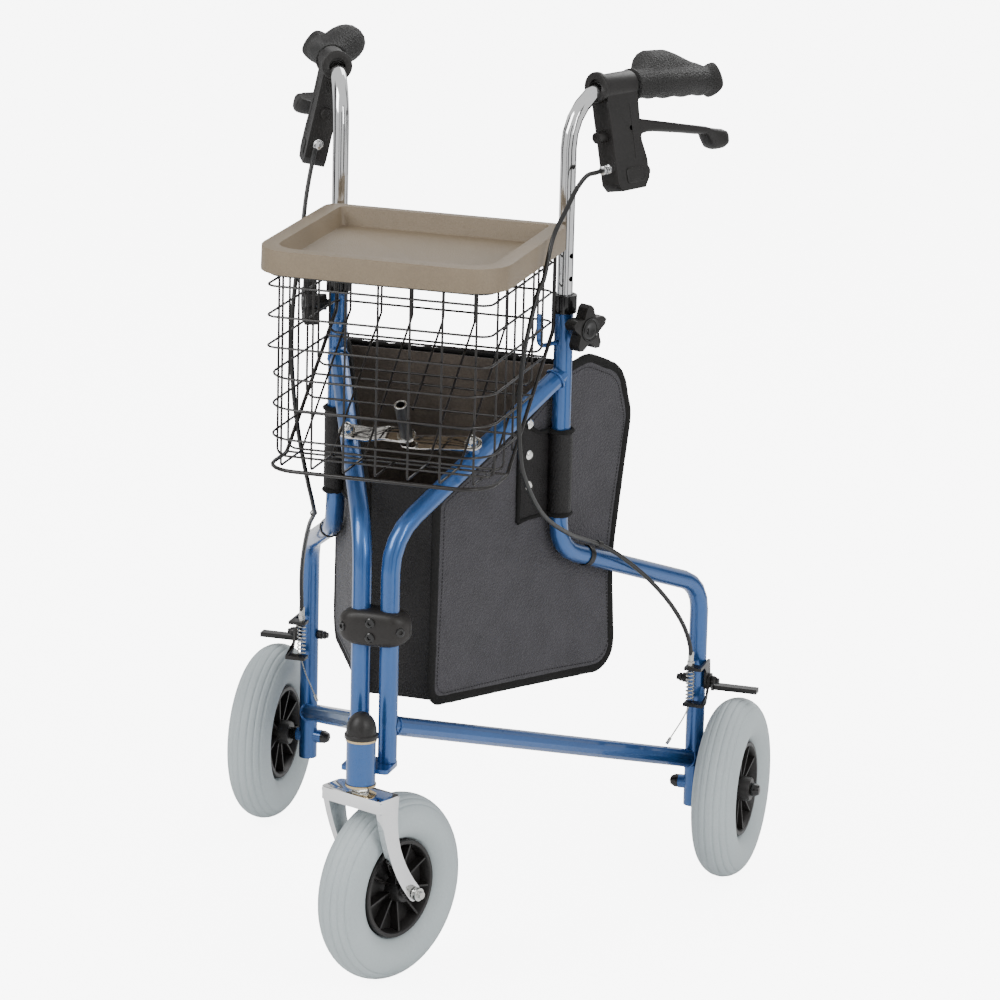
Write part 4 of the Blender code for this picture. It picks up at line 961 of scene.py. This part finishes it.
def grip():
    """Moulded grip: flange, palm wing up and inwards, finger swells and a flared squared end."""
    fall = Matrix.Translation((0, UPRIGHT_S, HANDLE_TOP_Z)) @ Matrix.Rotation(-HANDLE_FALL, 4, "X")
    start, stop = GRIP_S[0] - UPRIGHT_S, GRIP_S[1] - UPRIGHT_S
    stations = [0, 0.004, 0.008, 0.022, 0.028, 0.032] + [0.045 + 0.0215 * k for k in range(41)]
    stations += [0.915, 0.93, 0.96, 0.985, 1.0]
    rings = []
    for t in sorted(stations):
        flange = 1 - ease(t, 0.028, 0.045)
        end = ease(t, 0.875, 0.915)
        wing = ease(t, 0.10, 0.40) * (1 - 0.75 * ease(t, 0.55, 0.90)) * (1 - end)
        swell = (1 - end) * ease(t, 0.15, 0.25) * (0.6 + 0.4 * cos(2 * pi * (t - 0.2) * 4.6))
        flare = 0.0130 + 0.0052 * (t - 0.9) / 0.1
        ring = []
        for a in round_angles(40):
            radius = GRIP_R + 0.0030 * flange + 0.0022 * end
            inward = max(0.0, cos(a - radians(150))) ** 2.6
            outward = max(0.0, cos(a - radians(22))) ** 3
            under = max(0.0, cos(a - radians(-100))) ** 3
            radius += wing * (GRIP_WING * inward + 0.0040 * outward)
            radius += under * 0.0022 * swell
            if end > 0:
                radius = radius * (1 - end) + end * flare * (0.45 + 0.55 * squared(a - radians(35), 5))
            if t > 0.99:
                radius *= 0.86
            if t < 0.003:
                radius *= 0.94
            place = Vector((radius * cos(a), start + (stop - start) * t, radius * sin(a)))
            ring.append(fall @ place)
        rings.append(ring)
    return skin("grip", rings)


def raised_plate(name, levels, corner):
    """A stepped plate on the housing's outer face, from (outward place, half length, half height) levels."""
    rings = []
    for n, w, h in levels:
        outline = rounded_outline([(-w, -h, corner), (w, -h, corner), (w, h, corner), (-w, h, corner)], 4)
        rings.append([Vector((n, 0.3305 + p.x, 0.8262 + p.y)) for p in outline])
    return skin(name, rings)


def housing_details():
    """Push peg, blank plate, rib, rear nub and neck collar on the brake housing."""
    peg = placed(*drum(0.0062, 0.0130, (0, 0.3022, 0.871), (0, -1, 0), 28))
    plate = raised_plate(
        "plate", ((0.0118, 0.0142, 0.0082), (0.0128, 0.0142, 0.0082), (0.0132, 0.0136, 0.0076)), 0.004)
    ridge = raised_plate("ridge", ((0.0128, 0.0110, 0.0052), (0.0136, 0.0106, 0.0048)), 0.003)
    corners = ((-0.0006, 0.842), (0.0006, 0.842), (0.0006, 0.902), (-0.0006, 0.902))
    rib = skin("rib", [[Vector((n, 0.3345 + s, z)) for s, z in corners] for n in (0.0119, 0.0124)])
    nub = placed(drum(0.0062, 0.018, sides=28)[0],
                 Matrix.Translation((-0.009, 0.3515, 0.8275)) @ OUTWARDS)
    collar = turned([(0.0088, -0.003), (0.0155, -0.003), (0.0165, -0.002), (0.0165, 0.002), (0.0155, 0.003),
                     (0.0088, 0.003)], 40, closed_profile=True)
    collar = placed(collar, Matrix.Translation((0, 0.3005, HANDLE_TOP_Z - 0.0033)) @ Matrix.Rotation(
        -pi / 2 - HANDLE_FALL, 4, "X"))
    on_both(joined([peg, plate, ridge, rib, nub, collar]), "housing_details", "handle", PLASTIC,
            angle=35, bevel=0.0005, matrix=LEFT @ ROLL)


def stacked(sizes, root, aim):
    """Drums (radius, start, length, sides) one after another along a line, joined."""
    return joined([placed(*drum(radius, length, root + aim * start, aim, sides))
                   for radius, start, length, sides in sizes])


def brake_lever():
    """Lever body: rounded square sections (along, upper, lower, half width) with a thick squared tip."""
    sections = [(0.3300, 0.884, 0.868, 0.0040), (0.3400, 0.886, 0.864, 0.0044),
                (0.3520, 0.8845, 0.861, 0.0048), (0.3590, 0.883, 0.8665, 0.0054),
                (0.3680, 0.881, 0.8675, 0.0060), (0.3820, 0.878, 0.8660, 0.0062),
                (0.4000, 0.8742, 0.8630, 0.0064), (0.4250, 0.8688, 0.8588, 0.0066),
                (0.4480, 0.8640, 0.8545, 0.0074), (0.4590, 0.8615, 0.8530, 0.0086),
                (0.4635, 0.8600, 0.8430, 0.0100), (0.4670, 0.8590, 0.8370, 0.0110),
                (0.4740, 0.8575, 0.8345, 0.0120), (0.4820, 0.8560, 0.8345, 0.0118),
                (0.4885, 0.8535, 0.8370, 0.0104), (0.4925, 0.8500, 0.8420, 0.0070),
                (0.4938, 0.8480, 0.8440, 0.0030)]
    angles = round_angles(24)
    rings = []
    for along, upper, lower, half in sections:
        centre, tall = (upper + lower) / 2, (upper - lower) / 2
        rings.append([Vector((half * squared(a, 3.4) * cos(a), along,
                              centre + tall * squared(a, 3.4) * sin(a))) for a in angles])
    on_both(skin("lever", rings), "lever_body", "lever", PLASTIC, ["brake_lever"], angle=55,
            matrix=LEFT @ ROLL)


def handle_parts():
    on_both(grip(), "moulded_grip", "handle", STIPPLE, ["grip"], angle=50)
    housing_details()
    sizes = [(0.0056, 0.0, 0.0035, 6), (0.0040, 0.003, 0.013, 24), (0.0048, 0.0075, 0.002, 24),
             (0.0048, 0.0115, 0.003, 24)]
    barrel = stacked(sizes, Vector((0.0185, 0.3035, 0.838)), Vector((0.22, -0.97, 0.05)).normalized())
    on_both(barrel, "cable_adjuster", "handle", CHROME, bevel=0.0004)
    brake_lever()
    hub = turned([(0, 0), (0.0052, 0), (0.0060, 0.0006), (0.0095, 0.0006), (0.0105, 0.0), (0.0120, 0.0012),
                  (0.0128, 0.0012), (0.0132, 0.0004), (0.0132, -0.0022), (0, -0.0022)], 40)
    hub = placed(hub, Matrix.Translation((0.0382, UPRIGHT_S, KNOB_Z)) @ OUTWARDS)
    on_both(hub, "knob_hub", "knob", GLOSSY)


def cables():
    for side, route in ((1, LEFT_ROUTE), (-1, RIGHT_ROUTE)):
        prefix = side_name(side)
        path = curve_points([at(*p, side) for p in route], 0.005)
        jacket = hose(prefix + "cable_jacket", path, CABLE_R, 14)
        jacket.data.shade_smooth()
        jacket.data.materials.append(RUBBER)
        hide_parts(prefix + "brake_cable")
        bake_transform(jacket)

    clip = []
    slope = Vector((0, 0.240, -0.088)).normalized()
    half = 0.00375
    for centre, radius in ((Vector((0, 0.306, 0.4068)), TUBE_R + 0.0012),
                           (Vector((0.0185, 0.306, 0.4235)), CABLE_R + 0.0013)):
        inner = radius - 0.0012
        ring = turned([(inner, -half), (radius, -half), (radius, half), (inner, half)], 32,
                      closed_profile=True)
        clip.append(placed(ring, aimed(centre, slope)))
    on_both(joined(clip), "cable_clip", "frame", PLASTIC, bevel=0.0003)

    ferrule = stacked([(0.0036, -0.003, 0.004, 6), (0.0042, 0.0, 0.004, 6), (0.0032, 0.003, 0.012, 24)],
                      Vector((0.01205, 0.4737, 0.2495)), Vector((0, 0, 1)))
    on_both(ferrule, "cable_ferrule", "frame", ZINC, bevel=0.0003)


def brake_details():
    leg = LEFT @ Matrix.Translation((0, LEG_S, BRAKE_BOLT_Z)) @ Matrix.Rotation(SPLAY, 4, "Z")
    turns = 8
    radius = 0.0043
    helix = [Vector((radius * cos(2 * pi * turns * k / 160), -0.028 + radius * sin(2 * pi * turns * k / 160),
                     -0.0172 + 0.0350 * k / 160)) for k in range(161)]
    coil = hose("spring", helix, 0.0008, 8)
    springs = on_both(coil, "coil_spring", "frame", ZINC, ["brake_spring"], angle=80, matrix=leg)
    for spring, side in zip(springs, ("left_", "right_")):
        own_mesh(spring)
    tail = [Vector((0, -0.028, -0.022)), Vector((-0.006, -0.030, -0.038)), Vector((-0.019, -0.034, -0.062))]
    wire = hose("tail", curve_points(tail, 0.006), 0.0008, 8)
    crimp = placed(*drum(0.0019, 0.008, tail[-1], tail[-1] - tail[-2], 16))
    on_both(joined([wire, crimp]), "cable_tail", "brake_arm", ZINC, matrix=leg)
    bolts = []
    for x, length, out in ((TUBE_R + 0.0067, 0.006, 1), (-TUBE_R - 0.0065, 0.003, -1)):
        bolts.append(placed(*drum(0.0052, length, (x, 0, 0), (out, 0, 0), 6)))
        bolts.append(placed(*drum(0.0034, 0.003, (x + out * length, 0, 0), (out, 0, 0), 20)))
    on_both(joined(bolts), "brake_bolt_nuts", "frame", GLOSSY, bevel=0.0006, matrix=leg)


def socket_screw(radius, depth, place, along):
    """A pan screw with a round socket, made from one drum."""
    obj, put = drum(radius, depth, place, along, 28)
    select_faces(obj, lambda c, n: n.z > 0.9 and c.z > depth * 0.9)
    bpy.ops.mesh.inset(thickness=radius * 0.18)
    bpy.ops.transform.translate(value=(0, 0, radius * 0.12))
    bpy.ops.mesh.inset(thickness=radius * 0.36)
    bpy.ops.mesh.extrude_region_move(TRANSFORM_OT_translate={"value": (0, 0, -radius * 0.5)})
    return placed(obj, put)


def dome():
    outside = [(0.0174, 0.0), (0.0178, 0.0006), (0.0178, 0.0042), (0.0168, 0.0052), (DOME_R, 0.0056)]
    outside += [(DOME_R * cos(a), 0.0056 + 0.0226 * sin(a) ** 0.92)
                for a in (pi / 2 * k / 14 for k in range(1, 15))]
    cap = turned([(0.0130, 0.0)] + outside, 48)
    done(placed(cap, Matrix.Translation((0, HEAD_Y, DOME_Z))), "dome", "front_head", PLASTIC,
         ["dome_cap"], angle=40)


def hinge_clamp():
    """The moulded clamp round both front tubes: rounded square sections across the walker."""
    rings = []
    for k in range(25):
        x = 0.0392 * sin(pi * (k / 24 - 0.5))
        deep = max(CLAMP_R ** 2 - max(0.0, abs(x) - TUBE_APART) ** 2, 0.003 ** 2) ** 0.5
        tall = 0.0025 + 0.0172 * (max(0.0, 1 - (abs(x) / 0.0396) ** 3.4)) ** 0.5
        rings.append([Vector((x, FOLD_Y + deep * squared(a, 5) * cos(a),
                              CLAMP_Z + tall * squared(a, 5) * sin(a))) for a in round_angles(28)])
    done(skin("hinge_clamp", rings), "hinge_clamp", "front_head", BROWN_BLACK,
         ["hinge_block_front", "hinge_block_rear"], angle=50)


def screws():
    """Screws of the hinge clamp, the clamp itself, and the nuts and washers of the brace links."""
    block = [socket_screw(0.0052, 0.0012, (0, FOLD_Y - 0.0182, z), (0, -1, 0)) for z in (0.381, 0.397)]
    for side in (-1, 1):
        aim = Vector((side * 0.62, -0.78, 0))
        spot = Vector((side * TUBE_APART, FOLD_Y, CLAMP_Z)) + aim * 0.0176
        block.append(socket_screw(0.0050, 0.0010, spot, aim))
    done(joined(block), "block_screws", "front_head", GLOSSY, angle=30)
    hinge_clamp()

    up = Vector(LINK_NORMAL)
    out, depth, high = BRACE_PIVOT
    for side in (1, -1):
        pivot = Vector((side * out, depth, high)) + up * 0.0034
        nut = placed(*drum(0.0062, 0.0042, pivot, up, 6))
        cap = turned([(0.0050, 0), (0.0048, 0.0020), (0.0036, 0.0042), (0.0018, 0.0052), (0, 0.0054)], 24)
        cap = placed(cap, aimed(pivot + up * 0.0040, up))
        washer = placed(*drum(0.0085, 0.0008, pivot - up * 0.0002, up, 32))
        prefix = side_name(side)
        done(joined([nut, cap, washer]), prefix + "brace_nut", prefix + "frame", ZINC, bevel=0.0004)
    knee = Vector(KNEE_PIVOT) + up * 0.0112
    washer = placed(*drum(0.0098, 0.0014, knee, up, 36))
    rim = turned([(0.0048, 0), (0.0066, 0), (0.0069, 0.0008), (0.0066, 0.0016), (0.0050, 0.0016)], 32,
                 closed_profile=True)
    rim = placed(rim, aimed(knee + up * 0.0445, up))
    done(joined([washer, rim]), "knee_washer", "right_link", ZINC, bevel=0.0003)


def weld_bead(centre, along, radius, thick=0.0013):
    """A bumpy ring of weld round a tube."""
    turn = aimed(centre, along)
    path = [turn @ Vector((radius * cos(a), radius * sin(a), 0)) for a in round_angles(48)]
    return hose("bead", path, thick, 8, closed=True, wobble=0.5)


def welds():
    """Weld beads where the diagonal and the lower bar meet the other tubes."""
    slope = (JOIN_Z - FRONT_CORNER_Z) / UPRIGHT_S
    aim = Vector((0, 1, slope)).normalized()
    bar = Vector((0, 1, (BAR_REAR_Z - BAR_FRONT_Z) / LEG_S)).normalized()
    beads = [weld_bead(Vector((0, UPRIGHT_S, JOIN_Z)) - aim * 0.0125, aim, TUBE_R + 0.0006, 0.0016),
             weld_bead(Vector((0, 0, BAR_FRONT_Z)) + bar * 0.0108, bar, TUBE_R),
             weld_bead(Vector((0, LEG_S, BAR_REAR_Z)) - bar * 0.0108, bar, TUBE_R)]
    on_both(joined(beads), "weld_beads", "frame", PAINT, angle=80)


studio()
dress_frame()
basket()
wheels()
bag_sides()
sleeve()
bag_gusset()
handle_parts()
cables()
brake_details()
dome()
screws()
welds()
